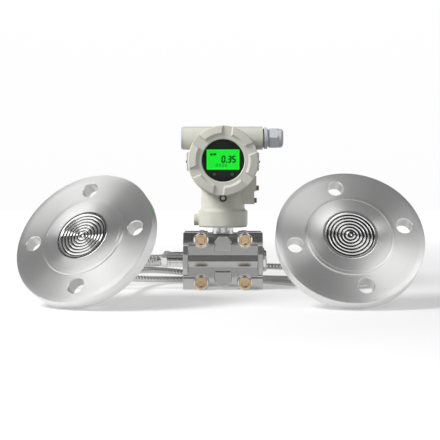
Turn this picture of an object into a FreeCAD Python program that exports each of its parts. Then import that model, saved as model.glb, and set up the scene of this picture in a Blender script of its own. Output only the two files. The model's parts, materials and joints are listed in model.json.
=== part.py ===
import FreeCAD
import Part
import Sketcher
import math
import os
from FreeCAD import Placement, Rotation, Vector

# Differential pressure transmitter with two remote flanged seals.
# Millimetres. +X to the right of the display, +Y to the rear, +Z up. Pieces are drawn with
# the origin on the floor under the sensor axis, and every node is then set in the object's
# frame, whose origin is the middle of the footprint without the hoses.

doc = FreeCAD.newDocument("pressure_transmitter")
sheet = doc.addObject("Spreadsheet::Sheet", "Sizes")

SIZES = [
    # process flanges that clamp the sensor capsule
    ("block_width", 102.4), ("block_height", 72.8), ("block_base", 15.0), ("block_gap", 30.0),
    ("bolt_spacing", 56.0), ("bolt_rise", 54.2), ("bolt_bore_radius", 5.5), ("corner_pad_width", 31.0),
    ("corner_pad_height", 13.5), ("corner_pad_rise", 2.0), ("foot_rise", 3.2),
    ("ridge_width", 89.6), ("ridge_height", 14.2), ("ridge_rise", 5.0), ("band_height", 41.0),
    ("band_rise", 3.0), ("boss_height", 38.0), ("boss_flat", 18.6), ("boss_rise", 7.0),
    ("arch_width", 23.6), ("arch_height", 22.4), ("arch_rise", 5.0), ("arch_edge", 6.2),
    ("port_radius", 7.0), ("port_depth", 16.0), ("channel_radius", 3.0), ("feed_radius", 2.4),
    ("chamber_radius", 17.0), ("chamber_depth", 1.6), ("edge_break", 0.8),
    # bolts
    ("bolt_radius", 5.0), ("bolt_head_across", 15.8), ("bolt_head_height", 6.4),
    ("nut_height", 8.0), ("bolt_end", 2.0), ("washer_radius", 9.2), ("washer_thick", 1.8),
    ("spotface_margin", 0.6),
    # sensor capsule and stem
    ("capsule_radius", 23.0), ("membrane_radius", 15.0), ("membrane_thick", 0.4),
    ("membrane_seat", 1.0), ("seal_ring_radius", 19.0), ("seal_ring_wire", 1.2),
    ("seal_groove_radius", 1.3), ("stem_radius", 13.9), ("stem_foot", 60.4),
    ("stem_top", 101.0), ("stem_bore_radius", 5.0), ("stem_slot_depth", 1.2),
    ("stem_slot_width", 3.0), ("stem_slot_z", 88.5),
    # hose fittings and port plugs
    ("fitting_radius", 8.0), ("fitting_length", 16.1), ("spigot_radius", 6.7),
    ("spigot_length", 9.0), ("collar_length", 3.8), ("collar_neck_radius", 6.9),
    ("collar_neck", 0.6), ("hose_nut_across", 15.6), ("hose_nut_length", 9.4),
    ("hose_nut_taper", 2.2), ("hose_radius", 4.25), ("fitting_bore_radius", 1.5),
    ("plug_across", 23.6), ("plug_head", 4.6), ("plug_socket_across", 8.0),
    ("plug_socket_depth", 3.0),
    # housing
    ("head_height", 164.3), ("drum_radius", 45.0), ("drum_front", 40.0), ("drum_rear", 44.0),
    ("spigot_wall", 4.0), ("thread_radius", 38.0), ("spigot_reach", 12.0),
    ("cavity_radius", 34.0), ("wall_front", 17.0), ("wall_thick", 5.0),
    ("arm_height", 31.2), ("arm_radius", 15.3), ("arm_reach", 52.0),
    ("conduit_radius", 10.0), ("arm_lip", 1.0), ("neck_radius", 28.6), ("collar_radius", 32.6),
    ("collar_top", 102.8), ("collar_bottom", 79.0), ("collar_chamfer", 3.0),
    ("stem_clearance", 0.08), ("wire_bore_radius", 9.0), ("lug_radius", 7.6),
    ("lug_reach", 38.0), ("lug_height", 88.5), ("side_depth", 24.0), ("side_reach", 40.8),
    ("side_bottom", 55.3), ("side_step", 38.7), ("side_top", 18.3), ("side_upper_reach", 42.2),
    ("lock_boss_radius", 6.3), ("lock_boss_height", 47.1), ("lock_boss_front", 39.2),
    ("plate_land_reach", 46.2), ("plate_land_depth", 30.0), ("plate_land_height", 24.0),
    # covers
    ("cover_radius", 43.6), ("cover_front", 66.0), ("cover_gap", 0.5), ("cover_plate", 5.5),
    ("thread_clearance", 0.1), ("recess_radius", 34.3), ("recess_drop", 3.0),
    ("slot_width", 11.0), ("slot_drop", 3.0), ("slot_angle", 22.0), ("slot_count", 6),
    ("window_radius", 26.5), ("window_bevel", 1.4), ("glass_radius", 30.5),
    ("glass_thick", 5.0), ("glass_clearance", 0.3), ("ring_radius", 35.5), ("ring_thick", 1.8),
    ("ring_inner_radius", 28.0), ("rear_cover_back", 64.0), ("rim_chamfer", 1.6),
    ("cover_seal_wire", 1.1), ("cover_seal_radius", 39.3), ("rear_boss_radius", 24.0),
    ("rear_boss_rise", 2.0),
    # display and electronics
    ("bezel_front", 51.4), ("bezel_thick", 3.0), ("bezel_radius", 33.0), ("can_radius", 31.0),
    ("can_back", 30.4), ("can_wall", 2.0), ("lcd_width", 41.0), ("lcd_height", 26.4),
    ("lcd_rise", 1.3), ("lcd_thick", 2.2), ("lcd_gap", 0.2), ("display_screw_x", 11.2),
    ("display_screw_z", 17.3), ("display_screw_radius", 1.5), ("display_head_radius", 2.4),
    ("display_head", 0.8), ("board_radius", 32.0), ("board_thick", 1.6), ("post_radius", 2.5),
    ("post_circle", 27.0), ("board_front", 28.6),
    ("terminal_width", 46.0), ("terminal_height", 22.0), ("terminal_depth", 16.0),
    ("terminal_drop", 8.0), ("terminal_pitch", 14.0), ("terminal_screw_radius", 3.2),
    ("terminal_screw_head", 3.0), ("terminal_recess", 1.4), ("terminal_clearance", 0.3),
    # conduit entries
    ("blank_radius", 14.3), ("blank_head", 3.0), ("blank_spigot", 12.0),
    ("thread_gap", 0.1), ("gland_neck_radius", 12.6), ("gland_neck", 1.9),
    ("gland_ring_radius", 14.2), ("gland_ring", 4.2), ("gland_groove_radius", 11.4),
    ("gland_groove", 2.6), ("gland_nut_across", 25.0), ("gland_nut", 11.2),
    ("gland_dome", 7.0), ("gland_dome_radius", 12.4), ("gland_dome_edge", 2.8),
    ("cable_bore_radius", 4.5), ("gland_bore_radius", 6.2), ("gland_mouth_radius", 6.5),
    ("gland_seal_radius", 8.2), ("gland_cone_radius", 10.4),
    # small screws, plates and rivets
    ("lock_screw_radius", 4.0), ("lock_screw_head_radius", 4.75), ("lock_screw_head", 1.0),
    ("lock_screw_shank", 8.0), ("lock_socket_across", 3.6), ("lock_socket_depth", 1.0), ("lock_margin", 0.3),
    ("screw_clearance", 0.1), ("plate_thick", 0.8), ("plate_width", 28.0),
    ("plate_height", 22.0), ("rivet_radius", 1.6), ("rivet_head", 1.4), ("rivet_pitch", 22.0),
    ("cap_plate_thick", 1.4), ("cap_plate_height", 19.6), ("cap_plate_width", 20.0),
    ("cap_screw_radius", 3.3), ("cap_screw_head", 3.8), ("cap_screw_upper", 34.3),
    ("cap_screw_lower", 50.6), ("cap_screw_shank", 8.0), ("cap_screw_shank_radius", 1.9),
    ("lug_screw_radius", 2.5), ("lug_screw_socket", 2.2),
    # remote seals, standard DN 50 PN 16 flanges
    ("seal_radius", 82.5), ("seal_thick", 16.0), ("face_radius", 49.0), ("face_rise", 2.0),
    ("face_bevel_radius", 45.3), ("face_bevel", 0.5), ("seal_circle", 62.5),
    ("seal_hole_radius", 9.0), ("hole_count", 4), ("left_spin", 10.8), ("right_spin", 11.1),
    ("seat_radius", 30.5), ("seat_depth", 1.6), ("diaphragm_radius", 30.2),
    ("diaphragm_rim", 3.0), ("wave_rise", 0.9), ("wave_count", 6), ("wave_centre", 5.0),
    ("diaphragm_thick", 0.5), ("hub_radius", 21.0), ("hub_height", 11.0), ("tube_radius", 7.0),
    ("tube_length", 33.0), ("fill_bore_radius", 1.5), ("left_tilt", 34.0), ("right_tilt", 32.5),
    ("left_turn", 22.8), ("right_turn", 0.4), ("left_x", 155.7), ("left_y", 182.5),
    ("right_x", 140.3), ("right_y", 185.2), ("rim_break", 1.0),
]

for row, (alias, number) in enumerate(SIZES, start=1):
    sheet.set("A%d" % row, alias)
    sheet.set("B%d" % row, "%g" % number)
    sheet.setAlias("B%d" % row, alias)
doc.recompute()


class Size:
    """A number together with the sheet expression that gives it."""

    def __init__(self, value, text):
        self.value = float(value)
        self.text = text

    @staticmethod
    def of(other):
        return other if isinstance(other, Size) else Size(other, "%.9g" % other)

    def __add__(self, other):
        other = Size.of(other)
        return Size(self.value + other.value, "(%s + %s)" % (self.text, other.text))

    def __radd__(self, other):
        return Size.of(other) + self

    def __sub__(self, other):
        other = Size.of(other)
        return Size(self.value - other.value, "(%s - %s)" % (self.text, other.text))

    def __rsub__(self, other):
        return Size.of(other) - self

    def __mul__(self, other):
        other = Size.of(other)
        return Size(self.value * other.value, "(%s * %s)" % (self.text, other.text))

    def __rmul__(self, other):
        return Size.of(other) * self

    def __truediv__(self, other):
        other = Size.of(other)
        return Size(self.value / other.value, "(%s / %s)" % (self.text, other.text))

    def __neg__(self):
        return Size(-self.value, "(0 - %s)" % self.text)


def size(alias):
    return Size(float(sheet.get(alias)), "Sizes.%s" % alias)


def bind(item, name, amount):
    amount = Size.of(amount)
    item.setExpression(name, amount.text)


TURNS = {
    "+Z": Rotation(),
    "-Z": Rotation(Vector(1, 0, 0), 180),
    "+X": Rotation(Vector(0, 1, 0), 90),
    "-X": Rotation(Vector(0, 1, 0), -90),
    "+Y": Rotation(Vector(1, 0, 0), -90),
    "-Y": Rotation(Vector(1, 0, 0), 90),
}


def place(item, x=0, y=0, z=0, turn="+Z", spin=0):
    """Put an item's own origin at a bound place, its own Z along the named axis."""
    rotation = TURNS[turn] * Rotation(Vector(0, 0, 1), spin)
    item.Placement = Placement(Vector(0, 0, 0), rotation)
    for name, amount in (("x", x), ("y", y), ("z", z)):
        if isinstance(amount, Size) or amount:
            bind(item, "Placement.Base." + name, amount)
    return item


def cylinder(label, radius, length, **where):
    item = doc.addObject("Part::Cylinder", label)
    bind(item, "Radius", radius)
    bind(item, "Height", length)
    return place(item, **where)


def cone(label, lower, upper, length, **where):
    item = doc.addObject("Part::Cone", label)
    bind(item, "Radius1", lower)
    bind(item, "Radius2", upper)
    bind(item, "Height", length)
    return place(item, **where)


def box(label, width, depth, height, x, y, z):
    """A block centred on x and y, standing on z."""
    item = doc.addObject("Part::Box", label)
    bind(item, "Length", width)
    bind(item, "Width", depth)
    bind(item, "Height", height)
    return place(item, x=x - Size.of(width) / 2, y=y - Size.of(depth) / 2, z=z)


def hexagon(label, across, length, **where):
    item = doc.addObject("Part::Prism", label)
    item.Polygon = 6
    bind(item, "Circumradius", Size.of(across) / math.sqrt(3))
    bind(item, "Height", length)
    return place(item, **where)


def fuse(label, *shapes):
    item = doc.addObject("Part::MultiFuse", label)
    item.Shapes = list(shapes)
    item.Refine = True
    return item


def cut(label, base, *tools):
    item = doc.addObject("Part::Cut", label)
    item.Base = base
    item.Tool = tools[0] if len(tools) == 1 else fuse(label + "_tools", *tools)
    item.Refine = True
    return item


def common(label, first, second):
    item = doc.addObject("Part::Common", label)
    item.Base = first
    item.Tool = second
    return item


def group(label, *shapes):
    """Separate solids that share one node."""
    item = doc.addObject("Part::Compound", label)
    item.Links = list(shapes)
    return item


def outline(body, label, plane, corners):
    """A closed sketch of straight lines on one of the body's own planes."""
    sketch = body.newObject("Sketcher::SketchObject", label)
    support = [f for f in body.Origin.OriginFeatures if f.Role == plane][0]
    sketch.AttachmentSupport = [(support, "")]
    sketch.MapMode = "FlatFace"
    corners = [(Size.of(a), Size.of(b)) for a, b in corners]
    points = [Vector(a.value, b.value, 0) for a, b in corners]
    for index, start in enumerate(points):
        sketch.addGeometry(Part.LineSegment(start, points[(index + 1) % len(points)]), False)
    for index in range(len(points)):
        following = (index + 1) % len(points)
        sketch.addConstraint(Sketcher.Constraint("Coincident", index, 2, following, 1))
    for index, corner in enumerate(corners):
        for kind, axis, amount in (("DistanceX", -2, corner[0]), ("DistanceY", -1, corner[1])):
            if amount.value == 0 and amount.text == "0":
                sketch.addConstraint(Sketcher.Constraint("PointOnObject", index, 1, axis))
            else:
                rule = Sketcher.Constraint(kind, -1, 1, index, 1, amount.value)
                number = sketch.addConstraint(rule)
                sketch.setExpression("Constraints[%d]" % number, amount.text)
    return sketch


def turned(label, corners, **where):
    """A turned piece: its half section, (radius, height) corners, about its own Z."""
    body = doc.addObject("PartDesign::Body", label)
    sketch = outline(body, label + "_section", "XZ_Plane", corners)
    revolution = body.newObject("PartDesign::Revolution", label + "_turned")
    revolution.Profile = sketch
    revolution.ReferenceAxis = (sketch, ["V_Axis"])
    revolution.Angle = 360
    body.Tip = revolution
    return place(body, **where)


def prism(label, plane, corners, length, **where):
    """A padded outline, centred on its sketch plane."""
    body = doc.addObject("PartDesign::Body", label)
    sketch = outline(body, label + "_outline", plane, corners)
    pad = body.newObject("PartDesign::Pad", label + "_pad")
    pad.Profile = sketch
    pad.Midplane = True
    bind(pad, "Length", length)
    body.Tip = pad
    return place(body, **where)


nodes = []


def node(item, label):
    """A finished piece or group, held by a compound that sets it in the object's frame."""
    holder = item if item.TypeId == "Part::Compound" else group(label + "_node", item)
    holder.Label = label
    nodes.append(holder)
    return item


def corners_of(width, height):
    return [(sx * width / 2, sz * height / 2) for sx in (-1, 1) for sz in (-1, 1)]


# ---------------------------------------------------------------- process flanges

block_axis = size("block_height") / 2
block_face = size("block_gap") / 2
bolt_spots = corners_of(size("bolt_spacing"), size("bolt_rise"))
boss_width = (size("block_width") - size("ridge_width")) / 2
pad_face = size("block_base") + size("corner_pad_rise")


def process_flange(label):
    """Own frame: inner face on Y = 0, outside towards -Y, sensor axis on Z = 0."""
    base = size("block_base")
    half = size("block_height") / 2
    middle = size("block_width") - 2 * size("corner_pad_width")
    slab = box(label + "_slab", size("block_width"), base, size("block_height"), 0, -base / 2, -half)
    relief = box(label + "_relief", middle, 2 * base, size("foot_rise"), 0, -base / 2, -half)
    parts = [cut(label + "_base", slab, relief)]
    band = size("band_height")
    parts.append(box(label + "_band", size("block_width"), size("band_rise") + 1, band,
                     0, -base - (size("band_rise") - 1) / 2, -band / 2))
    for index, (x, z) in enumerate(bolt_spots):
        pad_x = (size("block_width") - size("corner_pad_width")) / 2 * (1 if index > 1 else -1)
        pad_z = half - size("corner_pad_height") if index % 2 else -half
        land = box("%s_land_%d" % (label, index), size("corner_pad_width"),
                   size("corner_pad_rise") + 1, size("corner_pad_height"),
                   pad_x, -base - (size("corner_pad_rise") - 1) / 2, pad_z)
        seat = cylinder("%s_seat_%d" % (label, index), size("washer_radius"),
                        size("corner_pad_rise") + 1, x=x, y=-base + 1, z=z, turn="-Y")
        parts += [land, seat]
    front = -(base + size("band_rise"))
    ridge_half = size("ridge_height") / 2
    parts.append(prism(label + "_ridge", "YZ_Plane",
                       [(front + 1, ridge_half), (front, ridge_half),
                        (front - size("ridge_rise"), 0), (front, -ridge_half),
                        (front + 1, -ridge_half)], size("ridge_width")))
    for side in (-1, 1):
        outer = size("boss_height") / 2
        flat = size("boss_flat") / 2
        parts.append(prism("%s_boss_%s" % (label, "left" if side < 0 else "right"), "YZ_Plane",
                           [(-base + 1, outer), (-base, outer), (-(base + size("boss_rise")), flat),
                            (-(base + size("boss_rise")), -flat), (-base, -outer),
                            (-base + 1, -outer)], boss_width,
                           x=side * (size("block_width") - boss_width) / 2))
    wide = size("arch_width") / 2
    edge = size("arch_edge")
    for side in (1, -1):
        far = side * (half - 2.2)
        near = side * (half - 2.2 - size("arch_height"))
        parts.append(prism("%s_arch_%s" % (label, "top" if side > 0 else "bottom"), "XZ_Plane",
                           [(-wide, near), (-wide, far - side * edge), (-wide + edge, far),
                            (wide - edge, far), (wide, far - side * edge), (wide, near)],
                           size("arch_rise") + 1, y=-base - (size("arch_rise") - 1) / 2))
    tools = []
    for index, (x, z) in enumerate(bolt_spots):
        tools.append(cylinder("%s_bolt_bore_%d" % (label, index), size("bolt_bore_radius"),
                              3 * base, x=x, y=base, z=z, turn="-Y"))
        tools.append(cylinder("%s_spotface_%d" % (label, index),
                              size("washer_radius") + size("spotface_margin"), base, x=x,
                              y=-base - size("corner_pad_rise"), z=z, turn="-Y"))
    port_y = -(base + size("boss_rise")) / 2
    reach = size("block_width") / 2
    for side, turn in ((-1, "+X"), (1, "-X")):
        name = "left" if side < 0 else "right"
        tools.append(cylinder("%s_port_%s" % (label, name), size("port_radius"),
                              size("port_depth") + 1, x=side * (reach + 1), y=port_y, turn=turn))
    tools.append(cylinder(label + "_channel", size("channel_radius"), 2 * reach - 4,
                          x=-reach + 2, y=port_y, turn="+X"))
    tools.append(cylinder(label + "_chamber", size("chamber_radius"), size("chamber_depth") + 1,
                          y=1, turn="-Y"))
    tools.append(cylinder(label + "_feed", size("feed_radius"), -port_y + 1, y=1, turn="-Y"))
    return cut(label, fuse(label + "_solid", *parts), *tools)


front_flange = node(process_flange("front_block"), "process_flange_front")
place(front_flange, y=-block_face, z=block_axis)
rear_flange = node(process_flange("rear_block"), "process_flange_rear")
place(rear_flange, y=block_face, z=block_axis)
rear_flange.Placement = Placement(Vector(0, block_face.value, block_axis.value),
                                  Rotation(Vector(0, 0, 1), 180))
port_y = block_face + (size("block_base") + size("boss_rise")) / 2

# ---------------------------------------------------------------- clamping bolts

seat_y = block_face + pad_face
washers = []
bolts = []
nuts = []
for index, (x, z) in enumerate(bolt_spots):
    height = z + block_axis
    for side, turn in ((-1, "-Y"), (1, "+Y")):
        washers.append(turned("washer_%d_%s" % (index, "front" if side < 0 else "rear"),
                              [(size("bolt_bore_radius"), 0), (size("washer_radius"), 0),
                               (size("washer_radius"), size("washer_thick")),
                               (size("bolt_bore_radius"), size("washer_thick"))],
                              x=x, y=side * seat_y, z=height, turn=turn))
    head_y = -(seat_y + size("washer_thick"))
    nut_y = seat_y + size("washer_thick")
    shank_length = nut_y - head_y + size("nut_height") + size("bolt_end")
    head = hexagon("bolt_head_%d" % index, size("bolt_head_across"), size("bolt_head_height"),
                   x=x, y=head_y, z=height, turn="-Y", spin=30)
    dome = cone("bolt_dome_%d" % index, size("bolt_head_across") * 0.66,
                size("bolt_head_across") * 0.45, size("bolt_head_height"),
                x=x, y=head_y, z=height, turn="-Y")
    shank = cylinder("bolt_shank_%d" % index, size("bolt_radius"), shank_length,
                     x=x, y=head_y - 1, z=height, turn="+Y")
    bolts.append(fuse("bolt_%d" % index, common("bolt_cap_%d" % index, head, dome), shank))
    blank = hexagon("nut_blank_%d" % index, size("bolt_head_across"), size("nut_height"),
                    x=x, y=nut_y, z=height, turn="+Y", spin=30)
    bore = cylinder("nut_bore_%d" % index, size("bolt_radius") + 0.3, 3 * size("nut_height"),
                    x=x, y=nut_y - size("nut_height"), z=height, turn="+Y")
    nuts.append(cut("nut_%d" % index, blank, bore))
node(group("bolt_set", *bolts), "clamp_bolts")
node(group("washer_set", *washers), "clamp_washers")
node(group("nut_set", *nuts), "clamp_nuts")

# ---------------------------------------------------------------- sensor capsule and stem

capsule_face = block_face
groove_inner = size("seal_ring_radius") - size("seal_groove_radius")
groove_outer = size("seal_ring_radius") + size("seal_groove_radius")
groove_floor = capsule_face - 2 * size("seal_ring_wire") - 0.2
seat_floor = capsule_face - size("membrane_seat")
capsule_disc = turned("capsule_disc",
                      [(0, -seat_floor), (size("membrane_radius") + 0.3, -seat_floor),
                       (size("membrane_radius") + 0.3, -capsule_face),
                       (groove_inner, -capsule_face), (groove_inner, -groove_floor),
                       (groove_outer, -groove_floor), (groove_outer, -capsule_face),
                       (size("capsule_radius"), -capsule_face),
                       (size("capsule_radius"), capsule_face), (groove_outer, capsule_face),
                       (groove_outer, groove_floor), (groove_inner, groove_floor),
                       (groove_inner, capsule_face), (size("membrane_radius") + 0.3, capsule_face),
                       (size("membrane_radius") + 0.3, seat_floor), (0, seat_floor)],
                      turn="-Y")
capsule_boss = cylinder("capsule_boss", size("stem_radius") - 2,
                        size("stem_foot") - block_axis, turn="+Z")
capsule_bore = cylinder("capsule_bore", size("stem_bore_radius"), size("stem_foot"), z=0)
capsule = node(cut("capsule", fuse("capsule_solid", capsule_disc, capsule_boss), capsule_bore),
               "sensor_capsule")
place(capsule, z=block_axis)

membranes = []
rings = []
for side, turn in ((-1, "-Y"), (1, "+Y")):
    name = "front" if side < 0 else "rear"
    membranes.append(cylinder("membrane_" + name, size("membrane_radius"), size("membrane_thick"),
                              y=side * seat_floor, z=block_axis, turn=turn))
    ring = doc.addObject("Part::Torus", "capsule_ring_" + name)
    bind(ring, "Radius1", size("seal_ring_radius"))
    bind(ring, "Radius2", size("seal_ring_wire"))
    rings.append(place(ring, y=side * (capsule_face - size("seal_ring_wire") - 0.05),
                       z=block_axis, turn=turn))
node(group("membrane_pair", *membranes), "capsule_membranes")
node(group("capsule_ring_pair", *rings), "capsule_seals")

slot_low = size("stem_slot_z") - size("stem_slot_width") / 2
slot_high = size("stem_slot_z") + size("stem_slot_width") / 2
stem_inner = size("stem_bore_radius")
stem_waist = size("stem_radius") - size("stem_slot_depth")
node(turned("stem_body",
            [(stem_inner, size("stem_foot")), (size("stem_radius"), size("stem_foot")),
             (size("stem_radius"), slot_low), (stem_waist, slot_low), (stem_waist, slot_high),
             (size("stem_radius"), slot_high), (size("stem_radius"), size("stem_top") - 1),
             (size("stem_radius") - 1, size("stem_top")), (stem_inner, size("stem_top"))]),
     "sensor_stem")

# ---------------------------------------------------------------- fittings and plugs

block_side = size("block_width") / 2
fitting_end = block_side + size("fitting_length") + size("collar_length") + size("collar_neck")
nut_end = fitting_end + size("hose_nut_length")
adapters = []
hose_nuts = []
plugs = []
for side in (-1, 1):
    name = "front" if side < 0 else "rear"
    first = size("fitting_length")
    second = first + size("collar_neck")
    third = second + size("collar_length")
    adapters.append(turned("adapter_" + name,
                           [(size("fitting_bore_radius"), -size("spigot_length")),
                            (size("spigot_radius"), -size("spigot_length")),
                            (size("spigot_radius"), 0), (size("fitting_radius"), 0),
                            (size("fitting_radius"), first), (size("collar_neck_radius"), first),
                            (size("collar_neck_radius"), second), (size("fitting_radius"), second),
                            (size("fitting_radius"), third), (size("fitting_bore_radius"), third)],
                           x=-block_side, y=side * port_y, z=block_axis, turn="-X"))
    blank = hexagon("hose_nut_blank_" + name, size("hose_nut_across"), size("hose_nut_length"),
                    x=-fitting_end, y=side * port_y, z=block_axis, turn="-X", spin=30)
    taper = turned("hose_nut_taper_" + name,
                   [(0, 0), (size("hose_nut_across") * 0.6, 0),
                    (size("hose_nut_across") * 0.6,
                     size("hose_nut_length") - size("hose_nut_taper")),
                    (size("hose_radius") + 0.6, size("hose_nut_length")),
                    (0, size("hose_nut_length"))],
                   x=-fitting_end, y=side * port_y, z=block_axis, turn="-X")
    bore = cylinder("hose_nut_bore_" + name, size("fitting_bore_radius"),
                    3 * size("hose_nut_length"), x=-fitting_end + size("hose_nut_length"),
                    y=side * port_y, z=block_axis, turn="-X")
    hose_nuts.append(cut("hose_nut_" + name, common("hose_nut_form_" + name, blank, taper), bore))
    head = hexagon("plug_head_" + name, size("plug_across"), size("plug_head"),
                   x=block_side, y=side * port_y, z=block_axis, turn="+X", spin=30)
    spigot = cylinder("plug_spigot_" + name, size("spigot_radius"), size("spigot_length") + 1,
                      x=block_side - size("spigot_length"), y=side * port_y, z=block_axis,
                      turn="+X")
    socket = hexagon("plug_socket_" + name, size("plug_socket_across"),
                     size("plug_socket_depth") + 1,
                     x=block_side + size("plug_head") + 1, y=side * port_y, z=block_axis,
                     turn="-X")
    plugs.append(cut("plug_" + name, fuse("plug_solid_" + name, head, spigot), socket))
node(group("adapter_pair", *adapters), "hose_adapters")
node(group("hose_nut_pair", *hose_nuts), "hose_nuts")
node(group("plug_pair", *plugs), "port_plugs")

# ---------------------------------------------------------------- housing
# The head's own frame has its origin on the cover axis, over the sensor axis.

head = size("head_height")
front_end = size("drum_front") + size("spigot_reach")
rear_end = size("drum_rear") + size("spigot_reach")
wall_back = size("wall_front") - size("wall_thick")
drum = turned("drum",
              [(0, -front_end), (size("thread_radius"), -front_end),
               (size("thread_radius"), -size("drum_front")),
               (size("drum_radius") - 1, -size("drum_front")),
               (size("drum_radius"), -size("drum_front") + 1),
               (size("drum_radius"), size("drum_rear") - 1),
               (size("drum_radius") - 1, size("drum_rear")),
               (size("thread_radius"), size("drum_rear")),
               (size("thread_radius"), rear_end), (0, rear_end)], turn="+Y")
arms = cylinder("conduit_arms", size("arm_radius"), 2 * size("arm_reach"),
                x=-size("arm_reach"), z=size("arm_height"), turn="+X")
neck = turned("neck",
              [(0, size("collar_bottom") - head),
               (size("collar_radius") - size("collar_chamfer") / 2, size("collar_bottom") - head),
               (size("collar_radius"), size("collar_bottom") - head + size("collar_chamfer")),
               (size("collar_radius"), size("collar_top") - head - size("collar_chamfer")),
               (size("neck_radius") + 0.5, size("collar_top") - head),
               (size("neck_radius"), size("collar_top") - head + 1),
               (size("neck_radius"), -size("cavity_radius")), (0, -size("cavity_radius"))])
side_block = box("side_block", size("side_reach"), size("side_depth"),
                 size("side_bottom") - size("side_top"), size("side_reach") / 2, 0,
                 -size("side_bottom"))
side_upper = box("side_upper", size("side_upper_reach"), size("side_depth"),
                 size("side_step") - size("side_top"), size("side_upper_reach") / 2, 0,
                 -size("side_step"))
lug = cylinder("rotation_lug", size("lug_radius"), size("lug_reach"),
               z=size("lug_height") - head, turn="-X")
lock_height = -size("lock_boss_height")
lock_boss = cylinder("lock_boss", size("lock_boss_radius"), size("lock_boss_front"),
                     z=lock_height, turn="-Y")
plate_land = box("plate_land", 2 * size("plate_land_reach"), size("plate_land_depth"),
                 size("plate_land_height"), 0, 0, -size("plate_land_height") / 2)
housing_solid = fuse("housing_solid", drum, arms, neck, side_block, side_upper, lug, lock_boss,
                     plate_land)

lock_seat = size("lock_boss_front") - size("lock_screw_shank")
housing_tools = [
    cylinder("front_cavity", size("cavity_radius"), front_end, y=-size("wall_front"), turn="-Y"),
    cylinder("rear_cavity", size("cavity_radius"), rear_end + wall_back, y=-wall_back, turn="+Y"),
    cylinder("conduit_bore", size("conduit_radius"), 2 * size("arm_reach") + 2,
             x=-size("arm_reach") - 1, z=size("arm_height"), turn="+X"),
    cylinder("stem_bore", size("stem_radius") + size("stem_clearance"),
             size("stem_top") - size("collar_bottom") + 1.5, z=size("collar_bottom") - head - 1),
    cylinder("wire_bore", size("wire_bore_radius"), head - size("stem_top"),
             z=size("stem_top") - head),
    cylinder("lock_bore", size("lock_screw_radius") + size("screw_clearance"),
             size("lock_screw_shank") + 1.5, y=-lock_seat + 0.5, z=lock_height, turn="-Y"),
    cylinder("lock_recess", size("lock_screw_head_radius") + size("lock_margin"),
             3 * size("lock_screw_head"), y=-size("lock_boss_front"), z=lock_height, turn="-Y"),
    cylinder("lug_bore", size("lug_screw_radius") + size("screw_clearance"),
             size("lug_reach"), x=-size("stem_radius") + 1, z=size("lug_height") - head, turn="-X"),
    cylinder("wall_bore", size("wire_bore_radius") / 2, 2 * size("wall_front"), turn="-Y",
             z=-size("cavity_radius") / 2 - 4),
]
side_screws = []
for name, height, seat in (
        ("upper", head - size("cap_screw_upper"),
         size("side_upper_reach") + size("cap_plate_thick")),
        ("lower", head - size("cap_screw_lower"), size("side_reach"))):
    shank_start = seat - size("cap_screw_shank")
    housing_tools.append(cylinder("side_screw_bore_" + name,
                                  size("cap_screw_shank_radius") + size("screw_clearance"),
                                  size("cap_screw_shank") + 2, x=shank_start - 0.5,
                                  z=height - head, turn="+X"))
    side_screws.append(fuse("side_screw_" + name,
                            cylinder("side_screw_head_" + name, size("cap_screw_radius"),
                                     size("cap_screw_head"), x=seat, z=height, turn="+X"),
                            cylinder("side_screw_shank_" + name, size("cap_screw_shank_radius"),
                                     size("cap_screw_shank") + 1, x=shank_start, z=height,
                                     turn="+X")))
rivet_hole = size("rivet_radius") - 0.4
plates = []
rivets = []
for side, turn in ((-1, "-X"), (1, "+X")):
    name = "left" if side < 0 else "right"
    seat = size("plate_land_reach")
    plate = box("plate_blank_" + name, size("plate_thick"), size("plate_width"),
                size("plate_height"), side * (seat + size("plate_thick") / 2), 0,
                head - size("plate_height") / 2)
    holes = []
    for spot in (-1, 1):
        tag = "%s_%s" % (name, "front" if spot < 0 else "rear")
        along = spot * size("rivet_pitch") / 2
        holes.append(cylinder("plate_hole_" + tag, rivet_hole + 0.2, 4 * size("plate_thick"),
                              x=side * (seat - size("plate_thick")), y=along, z=head, turn=turn))
        housing_tools.append(cylinder("rivet_bore_" + tag, rivet_hole + 0.1, 4,
                                      x=side * (seat - 3), y=along, turn=turn))
        rivets.append(fuse("rivet_" + tag,
                           cone("rivet_head_" + tag, size("rivet_radius"),
                                size("rivet_radius") * 0.6, size("rivet_head"),
                                x=side * (seat + size("plate_thick")), y=along, z=head, turn=turn),
                           cylinder("rivet_shank_" + tag, rivet_hole, 3 + size("plate_thick"),
                                    x=side * (seat - 2.5), y=along, z=head, turn=turn)))
    plates.append(cut("plate_" + name, plate, *holes))
housing = node(cut("housing_cut", housing_solid, *housing_tools), "housing")
place(housing, z=head)
node(group("plate_pair", *plates), "side_plates")
node(group("rivet_set", *rivets), "plate_rivets")

cap_plate_low = head - size("side_step") + 0.4
cap_plate = box("cap_plate_blank", size("cap_plate_thick"), size("cap_plate_width"),
                size("cap_plate_height"), size("side_upper_reach") + size("cap_plate_thick") / 2,
                0, cap_plate_low)
cap_hole = cylinder("cap_plate_hole", size("cap_screw_shank_radius") + size("screw_clearance"),
                    4 * size("cap_plate_thick"), x=size("side_upper_reach") - 1,
                    z=head - size("cap_screw_upper"), turn="+X")
node(cut("cap_plate_cut", cap_plate, cap_hole), "adjuster_plate")
node(group("side_screw_pair", *side_screws), "side_screws")

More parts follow.
